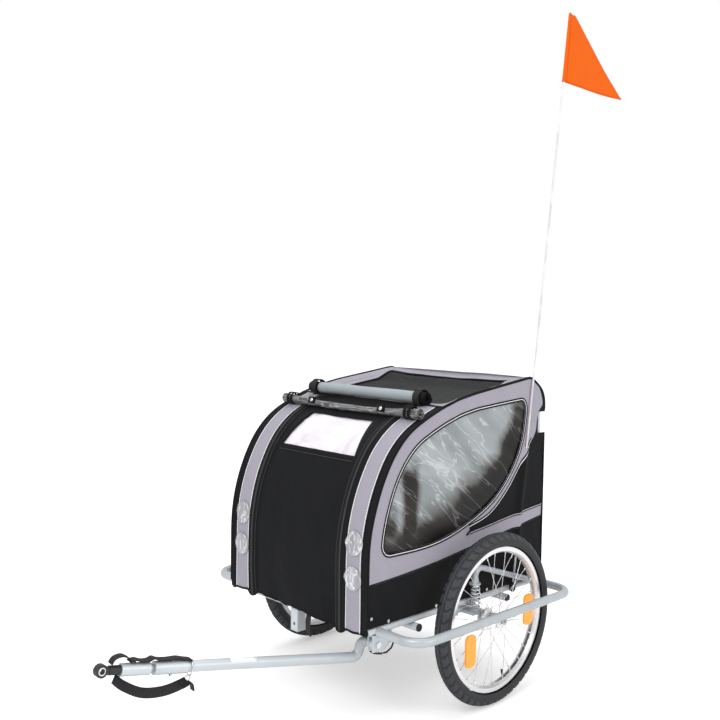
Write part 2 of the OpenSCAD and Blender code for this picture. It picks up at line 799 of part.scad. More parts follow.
// Rubber strap that keeps the bolt's clip, hung under the bracket from its inner side to the guard
module retaining_strap() {
  path = [
    [270, -401, 226], [283, -398, 220], [297, -388, 220], [304, -368, 221], [305, -350, 230],
    [305, -341, 246], [305, -338, 262]
  ];
  in_frame() color(black) rod_along(rounded(path, [0, 8, 10, 10, 10, 12, 0], 3), 2.6, [0, 0, 1], 12);
}

// The bar, hollow along its straights, with a collar between the bracket's ears
module tow_bar() {
  bend = 24;
  start = [spigot_x[1], spigot.x, spigot.y];
  turn = [spigot_x[0], spigot.x, spigot.y];
  path = [start, turn, bar_foot, on_bar(sleeve_rear[0] + sleeve_end + eps)];
  in_frame() color(silver) difference() {
    union() {
      rod_along(rounded(path, [0, bend, bend, 0]), tow_r, [0, 0, 1], 28);
      bar([bracket_x[0] + 0.4, spigot.x, spigot.y], start, collar_r);
    }
    bar(on_bar(sleeve_rear[0]), on_bar(660), tow_r - tow_wall);
    bar(turn + [bend + 6, 0, 0], [bracket_x[0] + 3, spigot.x, spigot.y], tow_r - tow_wall);
    bar([bracket_x[0], spigot.x, spigot.y], [340, spigot.x, spigot.y], bolt_r + run_gap);
  }
}

// Places children with +Z from the eye towards the trailer, at a distance from the eye
module along_bar(d) {
  side = [1, 0, 0] - bar_dir * bar_dir.x;
  x = unit(side);
  y = cross(bar_dir, x);
  multmatrix([
    [x.x, y.x, bar_dir.x, on_bar(d).x], [x.y, y.y, bar_dir.y, on_bar(d).y],
    [x.z, y.z, bar_dir.z, on_bar(d).z], [0, 0, 0, 1]
  ]) children();
}

eye_r = 15;
eye_half = 8;

// The trailer's foremost and rearmost points: the hitch eye's front and the pennant's tip
overall_y = [eye.y - eye_r, on_pole(pole_len - pennant_h - pole_tip).y + pennant_w];

module hitch_sleeve_rear() {
  in_frame() color(silver) {
    along_bar(sleeve_rear[0]) difference() {
      cylinder(r = sleeve_r + 1, h = sleeve_rear[1] - sleeve_rear[0]);
      translate([0, 0, sleeve_end]) cylinder(r = tow_r + run_gap, h = sleeve_rear[1]);
    }
    along_bar(ball_at) {
      sphere(r = 9);
      cylinder(r = 5, h = sleeve_rear[0] + 3 - ball_at);
    }
  }
}

module hitch_sleeve_front() {
  in_frame() color(silver) along_bar(sleeve_front[0]) difference() {
    cylinder(r = sleeve_r, h = sleeve_front[1] - sleeve_front[0]);
    translate([0, 0, 40]) cylinder(r = 12, h = 60);
    translate([0, 0, -1]) cylinder(r = 9 + run_gap, h = 32);
  }
}

module hitch_eye() {
  in_frame() color(black) difference() {
    union() {
      translate(eye - [eye_half, 0, 0]) rotate([0, 90, 0]) cylinder(r = eye_r, h = 2 * eye_half);
      along_bar(10) cylinder(r = 9, h = sleeve_front[0] + 28 - 10);
      along_bar(18) cylinder(r = 11, h = sleeve_front[0] - 18.5);
    }
    translate(eye - [30, 0, 0]) rotate([0, 90, 0]) cylinder(r = eye_bore_r, h = 60);
  }
}

// Cap screws under and over the sleeves
module hitch_bolts() {
  in_frame() color("gainsboro") along_bar(175) for (s = [-1, 1]) rotate([0, 0, s * 90])
    translate([sleeve_r + 1 + eps, 0, 0]) rotate([0, 90, 0]) cylinder(r = 4.5, h = 4, $fn = 6);
}

carabiner_at = 222;
hook_r = 18;
hook_wire = 1.8;
swivel_r = 6;

module wire_ring(r) {
  rotate_extrude() translate([r, 0]) circle(r = hook_wire, $fn = 16);
}

strap_d = [40, 62, 90, 130, 170, 200, 218];
strap_sag = [-22, -36, -50, -58, -54, -44, -38];

// Webbing that sags from the front of the hitch back to the carabiner
module safety_strap() {
  path = [for (i = [0:len(strap_d) - 1]) on_bar(strap_d[i]) + [0, 0, strap_sag[i]]];
  in_frame() color(black) ribbon(path, 20, [0, 0, 1]);
}

// Spring hook: a ring hung round the bar, with a swivel eye under it
module carabiner() {
  hang = hook_r - hook_wire - tow_r - eps;
  in_frame() color("gainsboro") along_bar(carabiner_at) {
    translate([0, hang, 0]) wire_ring(hook_r);
    translate([0, hang + hook_r + swivel_r + 1, 0]) rotate([0, 90, 0]) wire_ring(swivel_r);
  }
}

base_frame();
cross_tubes();
end_caps();
wheel_guards();
shock_towers();
arm_pins();
shock_seats();
spring_left();
spring_right();
hoop_bolts();
floor_panel();
floor_mat();
side_panel_left();
side_panel_right();
side_windows();
front_panel();
front_window();
roof_panel();
roof_mesh();
rear_panel();
cover_roll();
clear_roll();
roll_straps();
trim_discs();
rail_snaps();
flag_socket();
flag_pocket();
tow_bracket();
tow_bolts();
retaining_strap();
rear_hoop();
front_hoop();
arm_left();
arm_right();
axle_button_left();
axle_button_right();
hub_left();
hub_right();
bearings_left();
bearings_right();
spokes_left();
spokes_right();
rim_left();
rim_right();
tyre_left();
tyre_right();
valve_left();
valve_right();
wheel_reflectors_left();
wheel_reflectors_right();
flag_pole();
flag();
tow_bar();
hitch_sleeve_rear();
hitch_sleeve_front();
hitch_eye();
hitch_bolts();
safety_strap();
carabiner();
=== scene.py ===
"""Looks of a fabric-cabin bicycle trailer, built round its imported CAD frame. Lengths are in metres."""
import json
import math

import bmesh
import bpy
from mathutils import Matrix, Vector, noise
from mathutils.geometry import delaunay_2d_cdt


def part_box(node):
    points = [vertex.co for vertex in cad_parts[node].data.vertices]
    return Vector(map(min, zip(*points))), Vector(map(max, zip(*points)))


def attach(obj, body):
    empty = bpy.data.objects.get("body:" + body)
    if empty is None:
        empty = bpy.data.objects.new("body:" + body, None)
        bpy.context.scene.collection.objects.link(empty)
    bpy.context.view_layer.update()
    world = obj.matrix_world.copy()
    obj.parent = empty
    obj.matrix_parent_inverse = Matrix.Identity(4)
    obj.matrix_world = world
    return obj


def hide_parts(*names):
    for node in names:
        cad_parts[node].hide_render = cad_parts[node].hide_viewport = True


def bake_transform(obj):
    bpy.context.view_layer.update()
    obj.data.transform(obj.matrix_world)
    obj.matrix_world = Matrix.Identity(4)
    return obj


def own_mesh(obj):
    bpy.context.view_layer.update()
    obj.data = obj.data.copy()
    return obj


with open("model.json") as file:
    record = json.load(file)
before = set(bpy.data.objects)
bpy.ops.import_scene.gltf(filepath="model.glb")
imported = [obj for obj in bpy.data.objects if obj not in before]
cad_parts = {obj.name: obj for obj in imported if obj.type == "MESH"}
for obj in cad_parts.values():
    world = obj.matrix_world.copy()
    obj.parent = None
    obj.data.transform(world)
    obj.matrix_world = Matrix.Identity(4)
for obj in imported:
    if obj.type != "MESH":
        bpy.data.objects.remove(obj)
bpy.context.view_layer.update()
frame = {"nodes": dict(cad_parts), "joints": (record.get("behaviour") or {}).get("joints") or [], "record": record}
record = frame["record"]
scene = bpy.context.scene

MM = 0.001
AXLE_Y = (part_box("tyre_left")[0].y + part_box("tyre_left")[1].y) / 2
SIDES = {"left": 1, "right": -1}


# ---------------------------------------------------------------- materials
def node(tree, kind, inputs=(), **props):
    """Adds a shader node, sets its properties, and sets or links its inputs."""
    made = tree.nodes.new(kind)
    for key, value in props.items():
        setattr(made, key, value)
    for key, value in dict(inputs).items():
        if isinstance(value, bpy.types.NodeSocket):
            tree.links.new(value, made.inputs[key])
        else:
            made.inputs[key].default_value = value
    return made


def calc(tree, operation, a, b=0.0):
    return node(tree, "ShaderNodeMath", {0: a, 1: b}, operation=operation).outputs[0]


def where(tree, kind):
    return node(tree, "ShaderNodeTexCoord").outputs[kind]


def noise_at(tree, vector, scale, detail=2.0, distortion=0.0):
    values = {"Vector": vector, "Scale": scale, "Detail": detail, "Distortion": distortion}
    return node(tree, "ShaderNodeTexNoise", values).outputs["Fac"]


def ramp(tree, value, low, high, from_=0.0, to=1.0):
    """Maps low..high of value to from_..to, clamped."""
    values = {"Value": value, "From Min": low, "From Max": high, "To Min": from_, "To Max": to}
    return node(tree, "ShaderNodeMapRange", values).outputs["Result"]


def blend_colour(tree, share, a, b):
    """Colour a where share is 0, and b where it is 1."""
    made = node(tree, "ShaderNodeMix", {"Factor": share}, data_type="RGBA")
    for socket, value in ((made.inputs[6], a), (made.inputs[7], b)):
        if isinstance(value, bpy.types.NodeSocket):
            tree.links.new(value, socket)
        else:
            socket.default_value = (*value, 1)
    return made.outputs[2]


def bump(tree, height, distance, strength=1.0, under=None):
    values = {"Height": height, "Distance": distance, "Strength": strength}
    if under is not None:
        values["Normal"] = under
    return node(tree, "ShaderNodeBump", values).outputs["Normal"]


def threads(tree, vector, pitch, direction):
    """Parallel ridges, one for each thread, along X or Y of vector."""
    values = {"Vector": vector, "Scale": math.pi / (10 * pitch)}
    return node(tree, "ShaderNodeTexWave", values, bands_direction=direction).outputs["Fac"]


def principled(name, colour, roughness, **inputs):
    material = bpy.data.materials.new(name)
    material.use_nodes = True
    tree = material.node_tree
    shader = tree.nodes["Principled BSDF"]
    shader.inputs["Base Color"].default_value = (*colour, 1)
    shader.inputs["Roughness"].default_value = roughness
    for key, value in inputs.items():
        shader.inputs[key.replace("_", " ")].default_value = value
    return material, tree, shader


def feed(shader, **values):
    """Links values to the shader's inputs, whose names have _ for a space."""
    for key, value in values.items():
        shader.id_data.links.new(value, shader.inputs[key.replace("_", " ")])


def scaled(colour, share):
    return tuple(min(1.0, c * share) for c in colour)


def cloth(name, colour, pitch=1.1 * MM, creases=1.5 * MM, contrast=0.14):
    """Plain-woven cloth: threads both ways, blotches of tone, and soft creases."""
    material, tree, shader = principled(name, colour, 0.85, Sheen_Weight=0.04, Specular_IOR_Level=0.14)
    uv = where(tree, "UV")
    at = where(tree, "Object")
    weave = calc(tree, "MULTIPLY", threads(tree, uv, pitch, "X"), threads(tree, uv, pitch, "Y"))
    tone = ramp(tree, noise_at(tree, at, 14, 4, 0.6), 0.3, 0.7)
    body = blend_colour(tree, tone, scaled(colour, 1 - contrast), scaled(colour, 1 + contrast))
    shade = blend_colour(tree, ramp(tree, weave, 0, 0.6), scaled(colour, 0.7), body)
    feed(shader, Base_Color=shade)
    soft = bump(tree, noise_at(tree, at, 22, 3, 1.2), creases)
    feed(shader, Normal=bump(tree, weave, 0.12 * MM, 0.8, soft))
    feed(shader, Roughness=ramp(tree, weave, 0, 1, 0.92, 0.72))
    return material


def stitches(name, thread, ground, pitch=4.5 * MM):
    """A sewn line: dashes of thread along U of a ribbon, on a ground colour."""
    material, tree, shader = principled(name, ground, 0.8, Specular_IOR_Level=0.2)
    parts = node(tree, "ShaderNodeSeparateXYZ", {"Vector": where(tree, "UV")})
    phase = calc(tree, "FRACT", calc(tree, "DIVIDE", parts.outputs["X"], pitch))
    dash = calc(tree, "LESS_THAN", phase, 0.86)
    feed(shader, Base_Color=blend_colour(tree, dash, ground, thread))
    swell = calc(tree, "MULTIPLY", calc(tree, "SINE", calc(tree, "MULTIPLY", phase, math.pi)), dash)
    feed(shader, Normal=bump(tree, swell, 0.5 * MM))
    return material


def webbing_cloth(name, colour, pitch=1.6 * MM):
    """Woven strap with ribs across it and a raised edge."""
    material, tree, shader = principled(name, colour, 0.7, Specular_IOR_Level=0.3)
    uv = where(tree, "UV")
    ribs = calc(tree, "MAXIMUM", threads(tree, uv, pitch, "X"), threads(tree, uv, 2 * pitch, "Y"))
    body = blend_colour(tree, ribs, scaled(colour, 0.5), scaled(colour, 1.5))
    feed(shader, Base_Color=body)
    feed(shader, Normal=bump(tree, ribs, 0.25 * MM))
    return material


def painted(name, colour):
    """Powder coat: fine orange peel, faint grime, and edges worn a little lighter."""
    roughness = 0.36
    material, tree, shader = principled(name, colour, roughness, Metallic=0.25, Coat_Weight=0.25)
    at = where(tree, "Object")
    wear_and_painted_highlight = ramp(tree, node(tree, "ShaderNodeNewGeometry").outputs["Pointiness"], 0.53, 0.6)
    grime = ramp(tree, noise_at(tree, at, 30, 5), 0.35, 0.75)
    body = blend_colour(tree, grime, colour, scaled(colour, 0.9))
    feed(shader, Base_Color=blend_colour(tree, wear_and_painted_highlight, body, scaled(colour, 1.25)))
    feed(shader, Roughness=ramp(tree, grime, 0, 1, roughness, roughness + 0.1))
    feed(shader, Normal=bump(tree, noise_at(tree, at, 700), 0.05 * MM))
    return material


def bright_metal(name, colour, roughness):
    """Bare or plated metal with fine turning marks and smudges."""
    material, tree, shader = principled(name, colour, roughness, Metallic=1.0)
    at = where(tree, "Object")
    smudge = noise_at(tree, at, 60, 4)
    feed(shader, Roughness=ramp(tree, smudge, 0.3, 0.7, roughness, roughness + 0.14))
    body = blend_colour(tree, smudge, scaled(colour, 0.9), colour)
    feed(shader, Base_Color=body)
    feed(shader, Normal=bump(tree, noise_at(tree, at, 900), 0.02 * MM))
    return material


def moulded(name, colour, roughness=0.45, grain=600, depth=0.08 * MM):
    """Moulded plastic or rubber with a fine grain and slight dust."""
    material, tree, shader = principled(name, colour, roughness)
    at = where(tree, "Object")
    dust = ramp(tree, noise_at(tree, at, 18, 4), 0.4, 0.8)
    feed(shader, Base_Color=blend_colour(tree, dust, colour, scaled(colour, 1.5)))
    feed(shader, Roughness=ramp(tree, dust, 0, 1, roughness, roughness + 0.15))
    feed(shader, Normal=bump(tree, noise_at(tree, at, grain), depth))
    return material


def glints(tree, fold, width):
    """Thin bright lines, painted highlights, where a noise passes through its middle value."""
    return ramp(tree, calc(tree, "ABSOLUTE", calc(tree, "SUBTRACT", fold, 0.5)), 0, width, 1, 0)


def film(name, colour, cover, creases, lit=(0.2, 0.8), crease_scale=11, painted_glint_strength=0.45, run=(1, 1, 0.35)):
    """Soft clear vinyl, with near-white lines along its folds that are painted highlights. cover gives how much of
    it hides what is behind, at its clear and cloudy ends.
    """
    material, tree, shader = principled(name, colour, 0.12, IOR=1.45, Specular_IOR_Level=0.8)
    values = {"Vector": where(tree, "Object"), "Rotation": (0.6, 0, 0), "Scale": run}
    stretch = node(tree, "ShaderNodeMapping", values).outputs["Vector"]
    cloud = noise_at(tree, stretch, crease_scale, 4, 1.6)
    fold = noise_at(tree, stretch, 3 * crease_scale, 5, 2.2)
    # Painted highlights: near-white lines along the folds, which also hide what is behind
    glint = calc(tree, "MULTIPLY", glints(tree, fold, 0.05), painted_glint_strength)
    body = blend_colour(tree, ramp(tree, cloud, *lit), scaled(colour, 0.55), scaled(colour, 1.15))
    feed(shader, Base_Color=blend_colour(tree, glint, body, (0.95, 0.96, 0.97)))
    feed(shader, Alpha=calc(tree, "MAXIMUM", ramp(tree, cloud, *lit, *cover), glint))
    feed(shader, Normal=bump(tree, fold, 0.4 * creases, 0.7, bump(tree, cloud, creases)))
    return material


def side_film():
    """The side windows: cool and cloudy, with painted shade, brown to near black, where the mesh's shade attribute
    says so, and painted highlights along their folds.
    """
    material, tree, shader = principled("side_film", (0.35, 0.38, 0.39), 0.3, Specular_IOR_Level=0.25,
                                        Alpha=0.97)
    values = {"Vector": where(tree, "Object"), "Rotation": (1.0, 0, 0), "Scale": (1, 1, 4)}
    lean = node(tree, "ShaderNodeMapping", values, vector_type="TEXTURE").outputs["Vector"]
    cloud = noise_at(tree, lean, 8, 3, 0.8)
    fold = noise_at(tree, lean, 15, 3, 1.2)
    shade = node(tree, "ShaderNodeAttribute", attribute_name="shade").outputs["Fac"]
    stir = calc(tree, "MULTIPLY", calc(tree, "SUBTRACT", noise_at(tree, lean, 11, 5, 1.5), 0.5), 0.9)
    dark = ramp(tree, calc(tree, "ADD", shade, stir), 0.1, 1.0)
    haze = blend_colour(tree, ramp(tree, cloud, 0.3, 0.7), (0.17, 0.195, 0.20), (0.40, 0.43, 0.44))
    # Painted shade: the film goes brown, then near black, where the cabin behind it is in shade
    brown = blend_colour(tree, ramp(tree, dark, 0, 0.7), haze, (0.034, 0.026, 0.022))
    deep = blend_colour(tree, ramp(tree, dark, 0.5, 1), brown, (0.004, 0.0035, 0.0035))
    # Painted highlights: pale lines along the folds, fainter where the painted shade is deep
    shine = calc(tree, "MULTIPLY", glints(tree, fold, 0.02), ramp(tree, dark, 0, 0.6, 0.4, 0.12))
    feed(shader, Base_Color=blend_colour(tree, shine, deep, (0.8, 0.82, 0.83)))
    feed(shader, Normal=bump(tree, fold, 1.2 * MM, 0.7, bump(tree, cloud, 4 * MM)))
    return material


def net(name, colour, pitch=2.2 * MM, hole=0.55):
    """Open mesh: square holes between crossing threads."""
    material, tree, shader = principled(name, colour, 0.8)
    parts = node(tree, "ShaderNodeSeparateXYZ", {"Vector": where(tree, "UV")})
    phases = [calc(tree, "FRACT", calc(tree, "DIVIDE", parts.outputs[axis], pitch)) for axis in "XY"]
    open_both = calc(tree, "MULTIPLY", *[calc(tree, "LESS_THAN", phase, hole) for phase in phases])
    feed(shader, Alpha=calc(tree, "SUBTRACT", 1.0, open_both))
    tone = noise_at(tree, where(tree, "Object"), 20, 3)
    feed(shader, Base_Color=blend_colour(tree, tone, scaled(colour, 0.7), scaled(colour, 1.3)))
    return material


def lens(name, colour):
    """Moulded reflector: a field of small prisms under a smooth face, with a faint glow in its own colour that is
    painted light, since it is no lamp.
    """
    material, tree, shader = principled(name, colour, 0.18, Coat_Weight=0.3, Emission_Strength=0.4)
    shader.inputs["Emission Color"].default_value = (*colour, 1)
    values = {"Vector": where(tree, "Object"), "Scale": 260}
    cells = node(tree, "ShaderNodeTexVoronoi", values).outputs["Distance"]
    feed(shader, Base_Color=blend_colour(tree, cells, scaled(colour, 1.1), scaled(colour, 0.6)))
    feed(shader, Normal=bump(tree, cells, 0.6 * MM))
    return material


def tyre_rubber():
    """Rubber, paler and bluish on the tops of the tread's blocks, a painted highlight, and finely ribbed round the
    sidewalls.
    """
    material = moulded("tyre_rubber", (0.012, 0.0125, 0.0135), 0.55, 450, 0.1 * MM)
    tree = material.node_tree
    shader = tree.nodes["Principled BSDF"]
    # Painted highlight: the tops of the tread's blocks are paler and bluish
    wear_and_painted_highlight = node(tree, "ShaderNodeAttribute", attribute_name="wear_and_painted_highlight").outputs["Fac"]
    dusty = shader.inputs["Base Color"].links[0].from_socket
    feed(shader, Base_Color=blend_colour(tree, wear_and_painted_highlight, dusty, (0.030, 0.034, 0.041)))
    parts = node(tree, "ShaderNodeSeparateXYZ", {"Vector": where(tree, "UV")})
    ring = calc(tree, "SINE", calc(tree, "MULTIPLY", parts.outputs["Y"], 2 * math.pi / (1.8 * MM)))
    under = shader.inputs["Normal"].links[0].from_socket
    feed(shader, Normal=bump(tree, ring, 0.12 * MM, 0.6, under))
    return material


BLACK = (0.008, 0.0085, 0.0098)
GREY = (0.43, 0.405, 0.475)
SILVER = (0.46, 0.495, 0.52)
looks = {
    "silver_paint": painted("silver_paint", SILVER),
    "hoop_tube": painted("hoop_tube", SILVER),
    "chrome": bright_metal("chrome", (0.78, 0.79, 0.81), 0.12),
    "polished_alloy": bright_metal("polished_alloy", (0.90, 0.89, 0.91), 0.24),
    "spoke_steel": bright_metal("spoke_steel", (0.80, 0.80, 0.81), 0.2),
    "black_plastic": moulded("black_plastic", (0.016, 0.016, 0.018)),
    "black_fabric": cloth("black_fabric", BLACK),
    "mat_fabric": cloth("mat_fabric", (0.02, 0.02, 0.022), 1.8 * MM),
    "grey_fabric": cloth("grey_fabric", GREY, contrast=0.05, creases=2.2 * MM),
    "roof_net": net("roof_net", (0.016, 0.018, 0.017)),
    "clear_film": film("clear_film", (0.62, 0.64, 0.66), (0.25, 0.6), 3 * MM),
    "white_metal": bright_metal("white_metal", (0.66, 0.67, 0.69), 0.25),
    "webbing": webbing_cloth("webbing", (0.014, 0.014, 0.015)),
    "tyre_rubber": tyre_rubber(),
    "amber_lens": lens("amber_lens", (1.0, 0.33, 0.015)),
    "white_rod": moulded("white_rod", (0.62, 0.58, 0.60), 0.4),
    "flag_orange": cloth("flag_orange", (1.0, 0.15, 0.0), 0.8 * MM, 1.2 * MM, contrast=0.05),
}
binding = cloth("binding_tape", (0.007, 0.007, 0.008), 0.7 * MM, 0.5 * MM)
zip_tape = cloth("zip_tape", (0.010, 0.0105, 0.012), 0.8 * MM, 1.0 * MM)
roll_cloth = cloth("roll_cloth", (0.44, 0.49, 0.515), 0.9 * MM, 2.0 * MM, contrast=0.04)
# Each film's streak setting below sets the strength of its painted highlights
smoky_film = film("smoky_film", (0.075, 0.075, 0.078), (0.85, 0.97), 4 * MM, crease_scale=26, painted_glint_strength=0.4,
                  run=(0.07, 1, 1))
# The front window's film: nearly opaque and pale, a painted reflection of the studio light on clear film
painted_reflection_film = film("painted_reflection_film", (0.74, 0.70, 0.75), (0.93, 0.99), 3 * MM, (0.0, 0.5), 7, 0.1)
disc_film = film("disc_film", (0.56, 0.56, 0.60), (0.3, 0.75), 4 * MM, crease_scale=9, painted_glint_strength=0.9)
white_stitch = stitches("white_stitch", (0.9, 0.9, 0.92), (0.02, 0.02, 0.022))
grey_stitch = stitches("grey_stitch", (0.62, 0.60, 0.66), (0.012, 0.012, 0.013))
dark_stitch = stitches("dark_stitch", (0.05, 0.05, 0.055), (0.008, 0.008, 0.009))
label = moulded("blank_label", (0.78, 0.79, 0.80), 0.35)


# ---------------------------------------------------------------- mesh helpers
def build(name, places, faces, materials, uvs=None, slots=None, smooth=True):
    """A mesh object; uvs has one pair for each vertex, and slots one material index for each face."""
    mesh = bpy.data.meshes.new(name)
    mesh.from_pydata([tuple(p) for p in places], [], faces)
    for material in materials:
        mesh.materials.append(material)
    if slots:
        mesh.polygons.foreach_set("material_index", slots)
    if uvs:
        layer = mesh.uv_layers.new(name="UVMap")
        for loop in mesh.loops:
            layer.data[loop.index].uv = uvs[loop.vertex_index]
    if smooth:
        mesh.shade_smooth()
    mesh.update()
    made = bpy.data.objects.new(name, mesh)
    scene.collection.objects.link(made)
    return made


def thicken(piece, thickness, offset=-1.0):
    made = piece.modifiers.new("thickness", "SOLIDIFY")
    made.thickness = thickness
    made.offset = offset
    return piece


def place(piece, body="root", nodes=(), folds=False):
    """Puts a finished piece on its body and the CAD nodes it stands for."""
    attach(piece, body)
    if nodes:
        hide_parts(*nodes)
    if folds:
        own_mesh(piece)
    return piece


def curve_through(points, step):
    """A smooth curve through points, sampled about every step."""
    points = [Vector(p) for p in points]
    last = len(points) - 1
    out = []
    for i in range(last):
        a, b, c, d = points[max(i - 1, 0)], points[i], points[i + 1], points[min(i + 2, last)]
        count = max(1, round((c - b).length / step))
        for k in range(count):
            t = k / count
            square = (2 * a - 5 * b + 4 * c - d) * t * t
            cube = (3 * b - a - 3 * c + d) * t ** 3
            out.append(0.5 * (2 * b + (c - a) * t + square + cube))
    return out + [points[-1]]


def even_steps(points, step):
    """Points along a polyline at one even spacing, close to step."""
    lengths = [0.0]
    for a, b in zip(points, points[1:]):
        lengths.append(lengths[-1] + (b - a).length)
    count = max(2, round(lengths[-1] / step))
    out, i = [], 0
    for k in range(count + 1):
        goal = lengths[-1] * k / count
        while i < len(points) - 2 and lengths[i + 1] < goal:
            i += 1
        share = (goal - lengths[i]) / max(lengths[i + 1] - lengths[i], 1e-9)
        out.append(points[i].lerp(points[i + 1], min(share, 1.0)))
    return out, lengths[-1] / count


def relaxed(points, rounds, closed=False):
    """Points averaged with their neighbours, which rounds off the facets of a polyline."""
    for _ in range(rounds):
        ends = (points[-1], points[0]) if closed else (points[0], points[-1])
        row = [ends[0]] + points + [ends[1]]
        moved = [(row[i - 1] + 2 * row[i] + row[i + 1]) / 4 for i in range(1, len(row) - 1)]
        points = moved if closed else [points[0]] + moved[1:-1] + [points[-1]]
    return points


def frames(path, up):
    """A right and an up vector at each point of a path, kept square to it."""
    out = []
    last = len(path) - 1
    for i in range(last + 1):
        ahead = (path[min(i + 1, last)] - path[max(i - 1, 0)]).normalized()
        up = (up - ahead * up.dot(ahead)).normalized()
        out.append((ahead.cross(up), up))
    return out


def quads(rows, wide, flip=False, round_rows=False, round_columns=False):
    """Faces of a grid of vertices, whose last row or column may join its first."""
    faces = []
    for i in range(rows if round_rows else rows - 1):
        j = (i + 1) % rows
        for k in range(wide if round_columns else wide - 1):
            m = (k + 1) % wide
            face = (i * wide + k, i * wide + m, j * wide + m, j * wide + k)
            faces.append(face[:1] + face[:0:-1] if flip else face)
    return faces


def in_mm(*pairs):
    return [(a * MM, b * MM) for a, b in pairs]


def cord(name, path, radius, material, sides=8, closed=False):
    """A round cord along a path."""
    path = [Vector(p) for p in path]
    first = (path[1] - path[0]).normalized()
    up = Vector((0, 0, 1)) if abs(first.z) < 0.9 else Vector((1, 0, 0))
    places, uvs = [], []
    along = 0.0
    for i, (p, (right, top)) in enumerate(zip(path, frames(path, up))):
        along += (p - path[i - 1]).length if i else 0.0
        for k in range(sides):
            turn = 2 * math.pi * k / sides
            places.append(p + radius * (right * math.cos(turn) + top * math.sin(turn)))
            uvs.append((along, radius * turn))
    faces = quads(len(path), sides, round_rows=closed, round_columns=True)
    if not closed:
        last = (len(path) - 1) * sides
        faces += [tuple(range(sides))[::-1], tuple(range(last, last + sides))]
    return build(name, places, faces, [material], uvs)


def strap(name, path, up, width, material, thickness=1.6 * MM):
    """Flat webbing along a path; up is its first face normal."""
    path = [Vector(p) for p in path]
    places, uvs = [], []
    along = 0.0
    across = (-0.5, -0.42, -0.2, 0.0, 0.2, 0.42, 0.5)
    for i, (p, (right, _)) in enumerate(zip(path, frames(path, Vector(up)))):
        along += (p - path[i - 1]).length if i else 0.0
        for share in across:
            places.append(p + right * share * width)
            uvs.append((along, share * width))
    return thicken(build(name, places, quads(len(path), len(across)), [material], uvs), thickness, 0)


def sewn(name, path, up, width, material, thickness=1.6 * MM, nodes=()):
    """A strap on the cover, on the same body as the cover."""
    place(strap(name, path, up, width, material, thickness), nodes=nodes, folds=True)


def lathe(name, profile, centre, axis, material, steps=48):
    """Turns a profile of (radius, distance along axis) about an axis through centre."""
    turn = Vector((0, 0, 1)).rotation_difference(Vector(axis)).to_matrix()
    places, uvs = [], []
    for i in range(steps):
        angle = 2 * math.pi * i / steps
        for r, h in profile:
            places.append(Vector(centre) + turn @ Vector((r * math.cos(angle), r * math.sin(angle), h)))
            uvs.append((r * angle, h))
    faces = quads(steps, len(profile), flip=True, round_rows=True)
    return build(name, places, faces, [material], uvs)


def dome(radius, height, rim=0.8 * MM):
    """Profile of a domed snap or rivet."""
    angles = [math.pi / 2 * k / 6 for k in range(6)]
    bow = [(radius * math.cos(a), rim + (height - rim) * math.sin(a)) for a in angles]
    return [(radius, 0.0)] + bow + [(0.0001, height)]


def joined(name, pieces):
    """One mesh object made of several, which share their material slots in order."""
    for piece in pieces:
        bpy.context.view_layer.objects.active = piece
        for modifier in list(piece.modifiers):
            with bpy.context.temp_override(object=piece):
                bpy.ops.object.modifier_apply(modifier=modifier.name)
    first = pieces[0]
    with bpy.context.temp_override(active_object=first, object=first, selected_editable_objects=pieces):
        bpy.ops.object.join()
    first.name = name
    return first


def wobble(x, y, z=0.0, seed=0.0):
    """Smooth noise, about -1 to 1; the arguments are in wavelengths."""
    return 1.8 * noise.noise(Vector((x, y + 17.3 * seed, z - 9.1 * seed)))


# ------------------------------------------------- the cover's outline, from the CAD side panel
def flat_loops(name):
    """The closed loops of (y, z) points round the flat outer face of a side panel."""
    mesh = frame["nodes"][name].data
    reach = max(v.co.x for v in mesh.vertices)
    edges = set()
    for face in mesh.polygons:
        corners = [mesh.vertices[i].co for i in face.vertices]
        if all(c.x > reach - 0.01 * MM for c in corners):
            keys = [(round(c.y, 5), round(c.z, 5)) for c in corners]
            edges.update(zip(keys, keys[1:] + keys[:1]))
    after = {a: b for a, b in edges if (b, a) not in edges}
    loops = []
    while after:
        start, here = next(iter(sorted(after.items())))
        loop = [Vector(start)]
        del after[start]
        while here != start:
            loop.append(Vector(here))
            here = after.pop(here)
        loops.append(loop)
    return sorted(loops, key=lambda loop: -max((p - loop[0]).length for p in loop))


def from_front_foot(loop):
    """The outline as an open line from its lower front corner, over the roof, to its lower rear corner."""
    first = min(range(len(loop)), key=lambda i: loop[i].x + 2 * loop[i].y)
    loop = loop[first:] + loop[:first]
    floor = loop[0].y
    if loop[1].y < floor + MM:
        loop = loop[:1] + loop[:0:-1]
    while loop[-1].y < floor + MM and loop[-2].y < floor + MM:
        loop.pop()
    return loop


outline_loop, window_loop = flat_loops("side_panel_left")[:2]
OUTLINE, STEP = even_steps(from_front_foot(outline_loop), 5 * MM)
OUTLINE = relaxed(OUTLINE, 8)
LENGTH = STEP * (len(OUTLINE) - 1)
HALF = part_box("front_panel")[1].x
SIDE_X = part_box("side_panel_left")[1].x
CLOTH = 1.4 * MM                    # thickness of the cover


def on_outline(s):
    """The outline's point and outward direction at a distance s along it; below 0 it goes straight down."""
    t = min(max(s / STEP, 0.0), len(OUTLINE) - 1.001)
    i = int(t)
    point = OUTLINE[i].lerp(OUTLINE[i + 1], t - i) + Vector((0, min(s, 0.0)))
    ahead = OUTLINE[min(i + 2, len(OUTLINE) - 1)] - OUTLINE[max(i - 1, 0)]
    ahead.normalize()
    return point, Vector((-ahead.y, ahead.x))


def station(y):
    """Distance along the outline at which it first reaches y, on the front or the roof."""
    return next(i * STEP for i, p in enumerate(OUTLINE) if p.x >= y)


